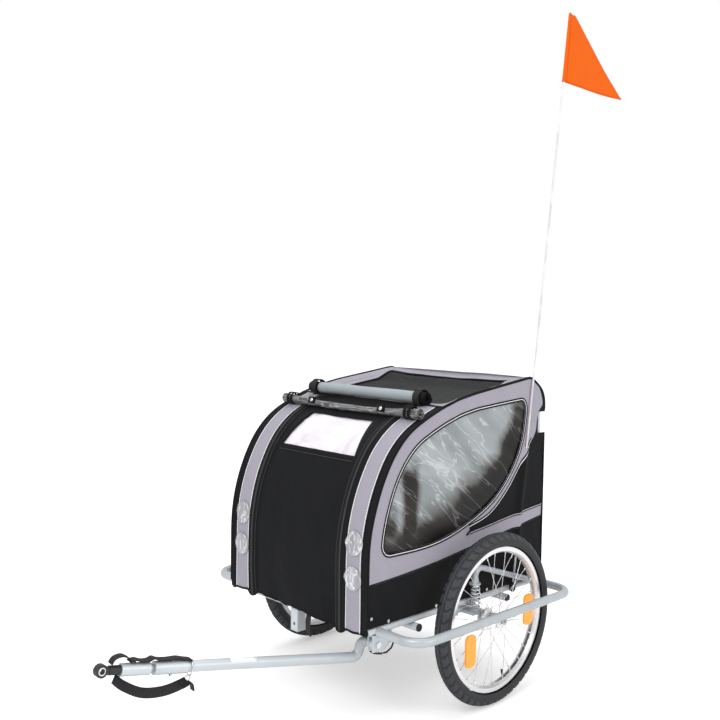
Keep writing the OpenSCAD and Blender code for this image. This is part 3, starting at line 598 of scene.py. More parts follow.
S_FRONT = station(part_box("front_panel")[1].y - 1 * MM)
S_ROOF = station(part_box("roof_panel")[1].y - 1 * MM)
FILM_ENDS = (station(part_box("front_window")[0].y + 3 * MM), station(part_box("front_window")[1].y - 1 * MM))
S_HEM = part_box("front_panel")[0].z - OUTLINE[0].y - 6 * MM    # the front hangs below the outline's foot
WINDOW_MIDDLE = sum(FILM_ENDS) / 2 - 5.5 * MM
WINDOW_HALF = 67 * MM
WINDOW = (WINDOW_MIDDLE - WINDOW_HALF, WINDOW_MIDDLE + WINDOW_HALF)
WINDOW_WIDTHS = (156 * MM, 130 * MM)    # from the middle to the side, at its lower and upper edge
SILL = WINDOW[0] - 21 * MM          # lower edge of the tape under the window
NET = (station(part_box("roof_mesh")[0].y + 8 * MM), station(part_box("roof_mesh")[1].y - 8 * MM))
NET_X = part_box("roof_mesh")[1].x - 8 * MM
NET_TAPE = (NET[0] - 14 * MM, NET[1] + 16 * MM)
ROOF_SEAM_X = NET_X + 26 * MM
BOUND_X = HALF - 4 * MM             # the cloth's edge is bound with tape outside this
ZIP = (176 * MM, 214 * MM)          # the zip bands beside the front's middle panel
ZIP_X, ZIP_HALF = sum(ZIP) / 2, 19 * MM
STRIP = (214 * MM, 276 * MM)        # the grey strips
STRIP_X, STRIP_HALF = sum(STRIP) / 2, 31 * MM
DISC_RADIUS = 33 * MM
POCKET = (LENGTH - 300 * MM, LENGTH - 90 * MM)
POCKET_X = 205 * MM


def ridge(value, middle, half):
    """1 at the middle of a band, falling to 0 at its edges."""
    share = (value - middle) / half
    return max(0.0, 1 - share * share)


def notch(value, middle, width):
    return math.exp(-((value - middle) / width) ** 2)


def soft_step(value, low, high):
    share = min(max((value - low) / (high - low), 0.0), 1.0)
    return share * share * (3 - 2 * share)


def cover_lift(s, x):
    """How far the cloth stands off the outline: strips and pocket bulge, the net sags, and seams pinch."""
    wide = abs(x)
    lift = -1.5 * MM
    seams = STRIP if s < S_FRONT else (ROOF_SEAM_X,)
    if s < S_FRONT:
        lift += 4.0 * MM * math.sqrt(ridge(wide, ZIP_X, ZIP_HALF))
        lift += 2.0 * MM * ridge(wide, STRIP_X, STRIP_HALF)
        if wide < ZIP[0]:
            lift += 1.7 * MM * wobble(x / 0.2, s / 0.13, 0, 1) - 1.0 * MM
        lift += 0.9 * MM * wobble(x / 0.06, s / 0.16, 0, 2 + (x > 0))
        hem = 1 - soft_step(s, S_HEM, 70 * MM)
        lift += hem * 6 * MM * wobble(x / 0.085, 0.3, 0, 5)
    elif s < S_ROOF:
        lift += 1.2 * MM * wobble(x / 0.09, s / 0.12, 0, 3)
        span = soft_step(s, NET[0] - 32 * MM, NET[0] + 15 * MM)
        span *= 1 - soft_step(s, NET[1] - 70 * MM, NET[1] + 5 * MM)
        lift -= 20 * MM * span * (1 - soft_step(wide, NET_X - 4 * MM, BOUND_X))
        lift -= 11 * MM * ridge(x, 0, HALF) * ridge(s, NET[1] + 30 * MM, 100 * MM)
    else:
        pocket = ridge(s, sum(POCKET) / 2, 1.05 * (POCKET[1] - POCKET[0]) / 2) * ridge(x, 0, POCKET_X)
        lift += 5.0 * MM * math.sqrt(pocket)
        lift += 1.6 * MM * wobble(x / 0.14, s / 0.2, 0, 4)
    for seam in seams:
        lift -= 1.3 * MM * notch(wide, seam, 3 * MM)
    return lift * min(1.0, (HALF + 2 * MM - wide) / (9 * MM)) - 0.4 * MM


def cover_point(s, x, extra=0.0):
    """The cloth's point at s and x, moved out by extra, with the hem's waves and rounded strip ends."""
    point, out = on_outline(s)
    point = point + out * (cover_lift(s, x) + extra)
    hang = 1 - soft_step(s, S_HEM, 40 * MM)
    tip = 13 * MM * math.sqrt(ridge(abs(x), ZIP_X, ZIP_HALF))
    drop = hang * (5 * MM * wobble(x / 0.11, 0.7, 0, 6) + 3 * MM * wobble(x / 0.03, 0.2, 0, 9) - tip)
    return Vector((x, point.x, point.y + drop))


def spaced(a, b, step, keep_end=True):
    count = max(1, math.ceil((b - a) / step - 1e-6))
    row = [a + (b - a) * i / count for i in range(count)]
    return row + [b] if keep_end else row


def stations(marks, step):
    """Even values from the first mark to the last, with every mark among them."""
    marks = sorted(marks)
    out = []
    for a, b in zip(marks, marks[1:]):
        out += spaced(a, b, step, False)
    return out + [marks[-1]]


def window_width(s):
    """Half the front window's width at s."""
    share = min(max((s - WINDOW[0]) / (WINDOW[1] - WINDOW[0]), 0.0), 1.0)
    return WINDOW_WIDTHS[0] + (WINDOW_WIDTHS[1] - WINDOW_WIDTHS[0]) * share


def mirrored(row):
    """A row from 0 outwards, with its mirror image before it."""
    return [-x for x in reversed(row) if x > 1e-6] + row


def sheet(name, rows, columns, point, slot_at, materials, thickness=CLOTH):
    """Cloth over rows of s and columns(s) of x. slot_at(s, x) is a material index, or None for a hole."""
    places, uvs, faces, slots = [], [], [], []
    wide = len(columns(rows[0]))
    for s in rows:
        for x in columns(s):
            places.append(point(s, x))
            uvs.append((x, s))
    for i in range(len(rows) - 1):
        middle = (rows[i] + rows[i + 1]) / 2
        row = columns(middle)
        for k in range(wide - 1):
            slot = slot_at(middle, (row[k] + row[k + 1]) / 2)
            if slot is not None:
                a = i * wide + k
                faces.append((a, a + 1, a + wide + 1, a + wide))
                slots.append(slot)
    return thicken(build(name, places, faces, materials, uvs, slots), thickness, -1)


cover_materials = [looks["black_fabric"], looks["grey_fabric"], zip_tape, binding]
BLACK_SLOT, GREY_SLOT, ZIP_SLOT, BIND_SLOT = range(4)


def front_columns(s):
    hole = window_width(s)
    right = [hole * i / 12 for i in range(12)]
    right += spaced(hole, ZIP[0], (ZIP[0] - hole) / 3, False)[:3]
    right += spaced(ZIP[0], ZIP[1], 9.5 * MM, False)
    right += spaced(STRIP[0], STRIP[1], 7.8 * MM, False)
    return mirrored(right + spaced(STRIP[1], HALF, 6 * MM))


def front_slot(s, x):
    """Which cloth the front is made of at s and x: its window, tape, black panels, zips and grey strips."""
    wide = abs(x)
    if WINDOW[0] < s < WINDOW[1] and wide < window_width(s):
        return None
    if SILL < s < WINDOW[0] and wide < WINDOW_WIDTHS[0] + 6 * MM:
        return BIND_SLOT
    if wide > STRIP[1] or wide < ZIP[0]:
        return BLACK_SLOT
    return GREY_SLOT if wide > STRIP[0] else ZIP_SLOT


def front_cover():
    rows = stations([S_HEM, 0, SILL, *WINDOW, S_FRONT], 10 * MM)
    piece = sheet("front_cover", rows, front_columns, cover_point, front_slot, cover_materials)
    place(piece, nodes=["front_panel"], folds=True)


def front_window():
    def point(s, x):
        sag = 5 * MM * ridge(s, WINDOW_MIDDLE, WINDOW_HALF + 10 * MM) * ridge(x, 0, 0.17)
        crease = 1.5 * MM * wobble(x / 0.05, s / 0.02 + x / 0.06, 0, 7)
        return cover_point(s, x, -3.5 * MM - sag + crease)

    def columns(s):
        half = window_width(s) + 9 * MM
        return [half * i / 20 for i in range(-20, 21)]
    rows = spaced(WINDOW[0] - 9 * MM, WINDOW[1] + 9 * MM, 6 * MM)
    # The film's pale colour is a painted reflection of the studio light
    piece = sheet("front_window_film", rows, columns, point, lambda s, x: 0, [painted_reflection_film], 0.5 * MM)
    place(piece, nodes=["front_window"], folds=True)


def roof_columns(s):
    right = spaced(0, NET_X, 16 * MM, False) + spaced(NET_X, ROOF_SEAM_X, 9 * MM, False)
    return mirrored(right + spaced(ROOF_SEAM_X, HALF, 7 * MM))


def roof_slot(s, x):
    wide = abs(x)
    if NET[0] < s < NET[1] and wide < NET_X:
        return None
    if wide < NET_X + 11 * MM and NET_TAPE[0] < s < NET_TAPE[1]:
        return BIND_SLOT
    return GREY_SLOT if wide < BOUND_X else BIND_SLOT


def roof_cover():
    rows = stations([S_FRONT, *NET_TAPE, *NET, S_ROOF], 11 * MM)
    piece = sheet("roof_cover", rows, roof_columns, cover_point, roof_slot, cover_materials)
    place(piece, nodes=["roof_panel"], folds=True)


def roof_net():
    def point(s, x):
        sag = 12 * MM * ridge(s, sum(NET) / 2, (NET[1] - NET[0]) / 2) * ridge(x, 0, NET_X)
        return cover_point(s, x, -3.0 * MM - sag + 1.5 * MM * wobble(x / 0.08, s / 0.08, 0, 8))
    columns = mirrored(spaced(0, NET_X + 8 * MM, 14 * MM))
    rows = spaced(NET[0] - 8 * MM, NET[1] + 8 * MM, 14 * MM)
    piece = sheet("roof_net_sheet", rows, lambda s: columns, point, lambda s, x: 0, [looks["roof_net"]],
                  0.4 * MM)
    place(piece, nodes=["roof_mesh"], folds=True)


CORNER_SLOT_Z = (757 * MM, 824 * MM)    # slots in the rear corners, which show the hoop behind the cloth
CORNER_SLOT_X = 264 * MM
CORNER_SLOT_Y = AXLE_Y + 303 * MM


def rear_cover():
    def slot_at(s, x):
        height = on_outline(s)[0].y
        if abs(x) > CORNER_SLOT_X and CORNER_SLOT_Z[0] < height < CORNER_SLOT_Z[1] and s > S_ROOF:
            return None
        return BLACK_SLOT if abs(x) < BOUND_X else BIND_SLOT
    columns = mirrored(stations([0, POCKET_X, CORNER_SLOT_X, HALF], 10 * MM))
    rows = stations([S_ROOF, POCKET[0], POCKET[1], LENGTH], 10 * MM)
    piece = sheet("rear_cover", rows, lambda s: columns, cover_point, slot_at, cover_materials)
    place(piece, nodes=["rear_panel"], folds=True)


# ---------------------------------------------------------------- side sheets
def from_axle(*pairs):
    """Points of (y, z), from millimetres behind the axle and above the ground."""
    return [Vector((AXLE_Y + y * MM, z * MM)) for y, z in pairs]


def turned(points, distance, closed=False):
    """A polyline moved sideways by a distance, to the left of its direction."""
    before = (points[-1:] if closed else points[:1]) + points[:-1]
    after = points[1:] + (points[:1] if closed else points[-1:])
    out = []
    for p, a, b in zip(points, before, after):
        ahead = (b - a).normalized()
        out.append(p + Vector((-ahead.y, ahead.x)) * distance)
    return out


def inside(p, loop):
    odd = False
    for a, b in zip(loop, loop[1:] + loop[:1]):
        if (a.y > p.y) != (b.y > p.y) and p.x < a.x + (b.x - a.x) * (p.y - a.y) / (b.y - a.y):
            odd = not odd
    return odd


def area(loop):
    return sum(a.x * b.y - b.x * a.y for a, b in zip(loop, loop[1:] + loop[:1])) / 2


def joint_axis(name):
    return Vector(next(j["axis"] for j in frame["joints"] if j["name"] == name))


if area(window_loop) < 0:
    window_loop.reverse()
WINDOW_EDGE, _ = even_steps(window_loop + window_loop[:1], 6 * MM)
WINDOW_EDGE = relaxed(WINDOW_EDGE[:-1], 5, True)      # runs anticlockwise, so its left side is the hole
EDGE_WIDTH = 7 * MM
INNER_RIM = turned(OUTLINE, -EDGE_WIDTH)
RIM_LOOP = INNER_RIM + [Vector((INNER_RIM[-1].x, -1)), Vector((INNER_RIM[0].x, -1))]
# Lower edge of the grey cloth, and the two edges of the black wedge behind the window
GREY_LOW = curve_through(from_axle((-441, 416), (-238, 426), (-22, 448), (170, 471), (345, 493)), 9 * MM)
WEDGE_TOP = curve_through(
    from_axle((-24, 503), (70, 529), (156, 591), (225, 673), (255, 713), (280, 745), (293, 768), (298, 800),
              (309, 829), (326, 848), (316, 884), (293, 916), (262, 946)), 8 * MM)
WEDGE_LOW = curve_through(from_axle((-24, 493), (110, 508), (230, 521), (345, 532)), 9 * MM)
WEDGE = WEDGE_TOP + from_axle((380, 960), (380, 540)) + WEDGE_LOW[::-1]
# Lower edge of the cloudy part of the side windows; below it the film is painted with the shade of the cabin
# behind
HAZE_LOW = from_axle((-378, 525), (-300, 535), (-230, 554), (-142, 583), (-69, 615), (27, 653), (106, 708),
                     (145, 776), (188, 860))
FLAG_PULL = joint_axis("flag_pull")
POLE_FOOT = Vector((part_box("flag_pole")[0].y + 3 * MM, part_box("flag_pole")[0].z))
POLE_RUN = FLAG_PULL.yz.normalized()
SLEEVE_Z = (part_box("flag_pocket")[0].z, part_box("flag_pocket")[1].z)


def height_on(line, y):
    """The height of a line that runs rearwards, at y."""
    for a, b in zip(line, line[1:]):
        if a.x <= y <= b.x:
            return a.y + (b.y - a.y) * (y - a.x) / max(b.x - a.x, 1e-9)
    return line[0].y if y < line[0].x else line[-1].y


def side_slot(p):
    """Material of the side sheet at (y, z), or None outside it and in its holes."""
    if inside(p, WINDOW_EDGE) or not inside(p, OUTLINE):
        return None
    if p.x > CORNER_SLOT_Y and CORNER_SLOT_Z[0] < p.y < CORNER_SLOT_Z[1]:
        return None
    if not inside(p, RIM_LOOP):
        return BIND_SLOT
    if p.y < height_on(GREY_LOW, p.x) or inside(p, WEDGE):
        return BLACK_SLOT
    return GREY_SLOT


def side_bulge(p):
    """How far the side sheet stands out at (y, z): creases that die out at its hem and seams."""
    crease = 1.3 * MM * wobble(p.x / 0.12, p.y / 0.12, 0, 11)
    if p.y < height_on(GREY_LOW, p.x):
        crease += 2.2 * MM * wobble((p.x + 0.7 * p.y) / 0.05, p.y / 0.16, 0, 12)
    hem = min(1.0, max(0.0, (p.y - 310 * MM) / (40 * MM)))
    return hem * (crease - 0.8 * MM)


def grid_inside(low, high, step):
    """A staggered grid of points over a rectangle."""
    rows = int((high.y - low.y) / step)
    count = int((high.x - low.x) / step)
    return [Vector((low.x + (i + 0.5 * (j % 2)) * step, low.y + j * step))
            for j in range(1, rows) for i in range(1, count)]


def flat_mesh(lines, loops, spacing):
    """Triangles over a set of (y, z) lines and loops, with a grid of points between them."""
    def cell(p):
        return round(p.x / (0.5 * spacing)), round(p.y / (0.5 * spacing))
    points, edges = [], []
    for line, closed in [(line, False) for line in lines] + [(loop, True) for loop in loops]:
        first = len(points)
        points += line
        edges += [(first + i, first + i + 1) for i in range(len(line) - 1)]
        if closed:
            edges.append((len(points) - 1, first))
    low = Vector((min(p.x for p in points), min(p.y for p in points)))
    high = Vector((max(p.x for p in points), max(p.y for p in points)))
    near = {cell(p) for p in points}
    points += [p for p in grid_inside(low, high, spacing) if cell(p) not in near]
    verts, _, faces, *_ = delaunay_2d_cdt(points, edges, [], 0, 0.05 * MM)
    return verts, faces


def upright(name, side, x_at, verts, faces, slot_at, materials, thickness):
    """A sheet in the (y, z) plane at x_at(p, side), with the faces that slot_at keeps."""
    kept, slots = [], []
    for face in faces:
        middle = sum((verts[i] for i in face), Vector((0, 0))) / len(face)
        slot = slot_at(middle)
        if slot is not None:
            kept.append(tuple(face) if side > 0 else tuple(face)[::-1])
            slots.append(slot)
    used = sorted({i for face in kept for i in face})
    index = {old: new for new, old in enumerate(used)}
    places = [(side * x_at(verts[i], side), verts[i].x, verts[i].y) for i in used]
    uvs = [(verts[i].x, verts[i].y) for i in used]
    kept = [tuple(index[i] for i in face) for face in kept]
    return thicken(build(name, places, kept, materials, uvs, slots), thickness, -1)


def pole_sleeve(p):
    """How far the left sheet stands out at (y, z), round the flag pole that runs up inside it."""
    low, high = SLEEVE_Z
    away = (p - POLE_FOOT).cross(POLE_RUN)
    ends = soft_step(p.y, low - 12 * MM, low + 14 * MM) * (1 - soft_step(p.y, high - 5 * MM, high))
    return 10.2 * MM * notch(away, 0, 13 * MM) * ends


def side_x(p, side):
    return SIDE_X + side_bulge(p) + (pole_sleeve(p) if side > 0 else 0.0)


def side_line(path, side, offset, width, lift, material, name):
    """A thin ribbon on the side sheet, offset from a (y, z) path."""
    middle = turned(path, offset)
    places, uvs, faces = [], [], []
    along = 0.0
    for i, (a, b) in enumerate(zip(turned(middle, -width / 2), turned(middle, width / 2))):
        along += (middle[i] - middle[i - 1]).length if i else 0.0
        for p, v in ((a, 0.0), (b, width)):
            places.append((side * (side_x(p, side) + lift), p.x, p.y))
            uvs.append((along, v))
    for i in range(len(path) - 1):
        a = 2 * i
        face = (a, a + 1, a + 3, a + 2)
        faces.append(face[::-1] if side > 0 else face)
    return thicken(build(name, places, faces, [material], uvs), 0.5 * MM, 0)


def side_sheets():
    """Both side sheets, with the tape and stitching round their windows and along their seams."""
    foot = [OUTLINE[0], OUTLINE[-1]]
    slot_lines = [from_axle((303, 757), (352, 757)), from_axle((303, 824), (352, 824)),
                  from_axle((303, 757), (303, 824))]
    across = Vector((POLE_RUN.y, -POLE_RUN.x))
    rises = spaced(SLEEVE_Z[0] - 15 * MM - POLE_FOOT.y, SLEEVE_Z[1] + 5 * MM - POLE_FOOT.y, 9 * MM)
    ribs = [[POLE_FOOT + POLE_RUN * h + across * (k * 5 * MM) for h in rises] for k in range(-4, 5)]
    verts, faces = flat_mesh([INNER_RIM, GREY_LOW, WEDGE_TOP, WEDGE_LOW, foot] + slot_lines + ribs,
                             [OUTLINE, WINDOW_EDGE], 13 * MM)
    ring = WINDOW_EDGE + WINDOW_EDGE[:2]
    rear = AXLE_Y + 338 * MM
    wedge = [p for p in WEDGE_TOP if p.y < 742 * MM]
    strip = [p for p in WEDGE_LOW if p.x < rear]
    low = [p for p in GREY_LOW if AXLE_Y - 432 * MM < p.x < rear]
    # Each trim's path, its offset from it, its width and its height over the cloth, in millimetres
    trims = {"binding": (ring, -1.8, 4.4, 0.7, binding),
             "stitch": (ring, -5.4, 2.8, 0.5, white_stitch),
             "piping": (ring, -9.0, 4.4, 0.7, binding),
             "wedge_binding": (wedge, 1.6, 4.2, 0.7, binding),
             "wedge_stitch": (wedge, 5.1, 2.8, 0.5, white_stitch),
             "wedge_edge": (wedge, 8.6, 4.2, 0.6, binding),
             "strip_binding": (strip, -1.2, 3.2, 0.7, binding),
             "strip_stitch": (strip, -4.2, 2.4, 0.5, grey_stitch),
             "strip_edge": (strip, -7.0, 3.2, 0.6, binding),
             "hem_stitch": (low, -3.5, 1.6, 0.5, dark_stitch)}
    tab = from_axle((-24, 498), (-31, 491), (-40, 486))
    for word, side in SIDES.items():
        piece = upright("side_cover_" + word, side, side_x, verts, faces, side_slot, cover_materials, CLOTH)
        pocket = ["flag_pocket"] if side > 0 else []
        place(piece, nodes=["side_panel_" + word] + pocket, folds=True)
        for kind, (path, offset, width, lift, material) in trims.items():
            line = side_line(path, side, offset * MM, width * MM, lift * MM, material, f"side_{kind}_{word}")
            place(line, folds=True)
        pull = curve_through([(side * (SIDE_X + 2 * MM), *p) for p in tab], 3 * MM)
        sewn(f"zip_pull_{word}", pull, (side, 0, 0), 5 * MM, binding)


def film_shade(p):
    """How dark the side film is painted at (y, z), from 0 to 1: painted shade of the cabin seen through it; y is
    measured from the axle.
    """
    below = soft_step(height_on(HAZE_LOW, p.x) - p.y, -80 * MM, 85 * MM)
    y = p.x - AXLE_Y
    band = soft_step(y, -330 * MM, -290 * MM) * (1 - soft_step(y, -262 * MM, -222 * MM))
    band *= 1 - soft_step(p.y, 680 * MM, 760 * MM)
    corner = notch((p - from_axle((205, 838))[0]).length, 0, 30 * MM)
    front = 0.6 * (1 - soft_step(y, -350 * MM, -290 * MM)) * (1 - soft_step(p.y, 560 * MM, 700 * MM))
    return max(below, 0.8 * band, 0.75 * corner, front)


def side_windows():
    """The side windows' film, a little larger than their openings and sagging inwards."""
    grown = turned(WINDOW_EDGE, -8 * MM, True)
    verts, faces = flat_mesh([], [grown], 11 * MM)
    middle = sum(grown, Vector((0, 0))) / len(grown)
    materials = [side_film()]

    def x_at(p, side):
        reach = (p - middle).length / (260 * MM)
        sag = 1 * MM * max(0.0, 1 - reach * reach)
        crease = 1.2 * MM * wobble((p.x + 0.6 * p.y) / 0.045, (p.y - 0.5 * p.x) / 0.16, 0, 14)
        return SIDE_X - 4.2 * MM - sag + crease * (1 if reach < 0.8 else 0.6)

    def slot_at(p):
        return 0 if inside(p, grown) else None
    for word, side in SIDES.items():
        piece = upright("side_film_" + word, side, x_at, verts, faces, slot_at, materials, 0.5 * MM)
        # Each vertex keeps how much painted shade of the cabin its film gets
        shade = piece.data.attributes.new("shade", "FLOAT", "POINT")
        for vertex in piece.data.vertices:
            shade.data[vertex.index].value = film_shade(vertex.co.yz)
        place(piece, nodes=["side_windows"] if side > 0 else [], folds=True)


def seam_line(name, x, span, width, material, extra=0.7 * MM):
    """A sewn line on the cover at x, over a span of distances along the outline."""
    path = [cover_point(s, x, extra) for s in spaced(*span, 8 * MM)]
    sewn(name, path, (0, *on_outline(span[0])[1]), width, material, 0.6 * MM)


def corner_piping(word, side):
    """Cord along a side edge of the cover, in two parts because the rear corner has a slot."""
    corner = []
    for s in spaced(0, LENGTH, 8 * MM):
        point, out = on_outline(s)
        if s <= S_ROOF or not CORNER_SLOT_Z[0] < point.y < CORNER_SLOT_Z[1]:
            corner.append(Vector((side * (SIDE_X - 1.5 * MM), *(point - out * 1.5 * MM))))
    gaps = [(b - a).length for a, b in zip(corner, corner[1:])]
    split = gaps.index(max(gaps)) + 1
    for part, path in (("long", corner[:split]), ("short", corner[split:])):
        piece = cord(f"corner_piping_{part}_{word}", path, 3.0 * MM, binding)
        place(piece, folds=True)


def cover_trim():
    """The sewn lines on the cover's front, roof and rear, and the piping along its corners."""
    front = (S_HEM + 2 * MM, S_FRONT)
    rear = (S_ROOF, LENGTH - 4 * MM)
    for word, side in SIDES.items():
        corner_piping(word, side)
        for kind, edge, away in (("inner", STRIP[0] + 2.5 * MM, -1), ("outer", STRIP[1] - 2.5 * MM, 1)):
            piping_x = side * (edge + away * 3.0 * MM)
            stitch_x = side * (edge - away * 0.9 * MM)
            seam_line(f"strip_piping_{kind}_{word}", piping_x, front, 4.4 * MM, binding)
            seam_line(f"strip_stitch_{kind}_{word}", stitch_x, front, 3.0 * MM, white_stitch)
        seam_line(f"zip_stitch_{word}", side * (ZIP[0] + 4 * MM), front, 1.8 * MM, dark_stitch)
        seam_line(f"zip_coil_{word}", side * ZIP_X, front, 6 * MM, dark_stitch, 0.9 * MM)
        seam_line(f"roof_stitch_{word}", side * (NET_X + 24 * MM), (S_FRONT, S_ROOF), 1.6 * MM, grey_stitch)
        seam_line(f"rear_stitch_{word}", side * (POCKET_X + 30 * MM), rear, 1.8 * MM, dark_stitch)
    # Each band's distance along the outline, its half length, its material and its width
    bands = {"window_stitch": (WINDOW[0] - 18 * MM, 160 * MM, dark_stitch, 2.0 * MM),
             "front_top_binding": (S_FRONT, BOUND_X, binding, 9 * MM),
             "rear_top_binding": (S_ROOF, BOUND_X, binding, 8 * MM),
             "pocket_binding": (POCKET[0], POCKET_X, binding, 12 * MM),
             "pocket_stitch": (POCKET[1], POCKET_X, dark_stitch, 2.2 * MM),
             "front_hem": (S_HEM + 3 * MM, HALF - 8 * MM, binding, 6 * MM),
             "rear_hem": (LENGTH - 4 * MM, HALF - 8 * MM, binding, 7 * MM)}
    for name, (s, half, material, width) in bands.items():
        path = [cover_point(s, x, 0.8 * MM) for x in spaced(-half, half, 9 * MM)]
        sewn(name, path, (0, *on_outline(s)[1]), width, material, 0.7 * MM)


# ---------------------------------------------------------------- rolls, straps, discs, pocket
def rolled(name, node_name, x0, x1, inner, turns, material, sag=0.0, seed=0.0):
    """Cloth wound into a loose roll along X, in the place of a round CAD node."""
    low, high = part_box(node_name)
    middle = (low + high) / 2
    outer = (high.z - low.z) / 2 + 1 * MM
    steps = 26 * turns
    rows = spaced(x0, x1, 11 * MM)
    places, uvs = [], []
    for x in rows:
        droop = sag * ridge(x, 0, max(abs(x0), abs(x1)))
        flat = 1 - 0.35 * min(1.0, droop / (6 * MM))
        for k in range(steps + 1):
            share = k / steps
            turn = 2 * math.pi * turns * share
            r = inner + (outer - inner) * share
            r += 0.9 * MM * wobble(x / 0.09, 0.5 * math.cos(turn), 0.5 * math.sin(turn), seed)
            places.append((x, middle.y + r * math.cos(turn), middle.z - droop + flat * r * math.sin(turn)))
            uvs.append((x, r * turn))
    return thicken(build(name, places, quads(len(rows), steps + 1, True), [material], uvs), 0.7 * MM, 0)


def ring_strap(name, x, centre, radius, width, material, nodes=()):
    """A strap round a roll, with its loose end laid over itself."""
    steps, turns, overlap = 40, 1.08, 1.0 * MM
    path = []
    for k in range(steps + 1):
        turn = math.pi / 2 + 2 * math.pi * turns * k / steps
        r = radius + overlap * k / steps
        path.append(Vector((x, centre.y + r * math.cos(turn), centre.z + r * math.sin(turn))))
    sewn(name, path, (0, 0, 1), width, material, 1.2 * MM, nodes)


def rolls():
    """The grey roll with its black ends, the clear roll in front of it, and the straps that tie both."""
    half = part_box("cover_roll")[1].x
    dark = half - 42 * MM
    middle = rolled("roll_middle", "cover_roll", -dark, dark, 6 * MM, 3, roll_cloth, seed=1)
    place(middle, nodes=["cover_roll"], folds=True)
    for word, side in SIDES.items():
        ends = sorted((side * dark, side * half))
        end = rolled(f"roll_end_{word}", "cover_roll", *ends, 7 * MM, 3, looks["black_fabric"], seed=2)
        place(end, folds=True)
    low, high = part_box("clear_roll")
    clear = rolled("clear_roll_film", "clear_roll", low.x, high.x, 5 * MM, 3, smoky_film, 7 * MM, 3)
    place(clear, nodes=["clear_roll"], folds=True)
    centre = (low + high) / 2
    facing = (0, -1, 0.3)
    for word, side in SIDES.items():
        for kind, at in (("outer", 262 * MM), ("inner", 246 * MM)):
            ring_strap(f"clear_roll_tie_{kind}_{word}", side * at, centre, 18.5 * MM, 10 * MM, binding)
        snap_at = Vector((side * 150 * MM, centre.y - 14 * MM, centre.z + 4 * MM))
        snap = lathe(f"roll_snap_{word}", dome(6 * MM, 3.4 * MM), snap_at, facing, looks["chrome"], 24)
        place(snap, folds=True)
        flap = [snap_at + Vector((side * away, 1.2 * MM, 0)) for away in (-16 * MM, 0, 16 * MM)]
        sewn(f"snap_flap_{word}", flap, facing, 20 * MM, binding, 1.4 * MM)
    low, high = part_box("roll_straps")
    centre = (low + high) / 2
    for word, side in SIDES.items():
        nodes = ["roll_straps"] if side > 0 else []
        at = side * (high.x - 12 * MM)
        ring_strap(f"roll_strap_{word}", at, centre, 23.2 * MM, 24 * MM, looks["webbing"], nodes)


def front_strap_end():
    """A short webbing end that hangs under the front edge."""
    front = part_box("front_panel")[0]
    marks = ((60, 10, 6), (60, 4, -30), (56, 12, -70))
    path = curve_through([Vector((x * MM, front.y + y * MM, front.z + z * MM)) for x, y, z in marks], 6 * MM)
    place(strap("front_strap_end", path, (0, -1, 0), 20 * MM, looks["webbing"]))


def disc(name, s, x, seed, nodes):
    """A crinkled round patch of clear film on the cover, with a raised rim."""
    rings, steps = 9, 36
    side = 1 if x > 0 else -1
    places, uvs = [], []
    for i in range(rings + 1):
        r = DISC_RADIUS * i / rings
        rim = 1.2 * MM if i >= rings - 1 else 0.0
        for k in range(steps):
            turn = 2 * math.pi * k / steps
            dx, ds = r * math.cos(turn), r * math.sin(turn)
            lift = 2.4 * MM + rim + 1.1 * MM * wobble(dx / 0.02, ds / 0.035, 0, seed)
            places.append(cover_point(s + ds, x + side * dx, lift))
            uvs.append((dx, ds))
    faces = quads(rings + 1, steps, flip=True, round_columns=True)
    piece = thicken(build(name, places, faces, [disc_film], uvs), 0.6 * MM)
    place(piece, nodes=nodes, folds=True)


def discs():
    """Clear discs sewn to the grey strips, where the CAD has flat ones."""
    low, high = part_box("trim_discs")
    heights = {"low": low.z + DISC_RADIUS, "high": high.z - DISC_RADIUS}
    for word, side in SIDES.items():
        for kind, height in heights.items():
            s = next(i * STEP for i, p in enumerate(OUTLINE) if p.y >= height)
            seed = 20 + side + (2 if kind == "high" else 0)
            nodes = ["trim_discs"] if side > 0 and kind == "low" else []
            disc(f"disc_{kind}_{word}", s, side * STRIP_X, seed, nodes)


# ---------------------------------------------------------------- floor mat, by cloth simulation
def swollen_pad(name, size, middle):
    """A box that cloth simulation swells a little, and the places its vertices had before."""
    shape = bmesh.new()
    bmesh.ops.create_cube(shape, size=1)
    for v in shape.verts:
        v.co = v.co * size + middle
    mesh = bpy.data.meshes.new(name)
    shape.to_mesh(mesh)
    shape.free()
    pad = bpy.data.objects.new(name, mesh)
    scene.collection.objects.link(pad)
    bpy.context.view_layer.objects.active = pad
    pad.select_set(True)
    remesh = pad.modifiers.new("remesh", "REMESH")
    remesh.mode = "VOXEL"
    remesh.voxel_size = 8 * MM
    bpy.ops.object.modifier_apply(modifier="remesh")
    rest = [v.co.copy() for v in pad.data.vertices]
    swell = pad.modifiers.new("cloth", "CLOTH")
    swell.settings.use_pressure = True
    swell.settings.uniform_pressure_force = 4
    swell.settings.effector_weights.gravity = 0
    for number in range(1, 16):
        scene.frame_set(number)
    bpy.ops.object.modifier_apply(modifier="cloth")
    scene.frame_set(1)
    pad.select_set(False)
    return pad, rest


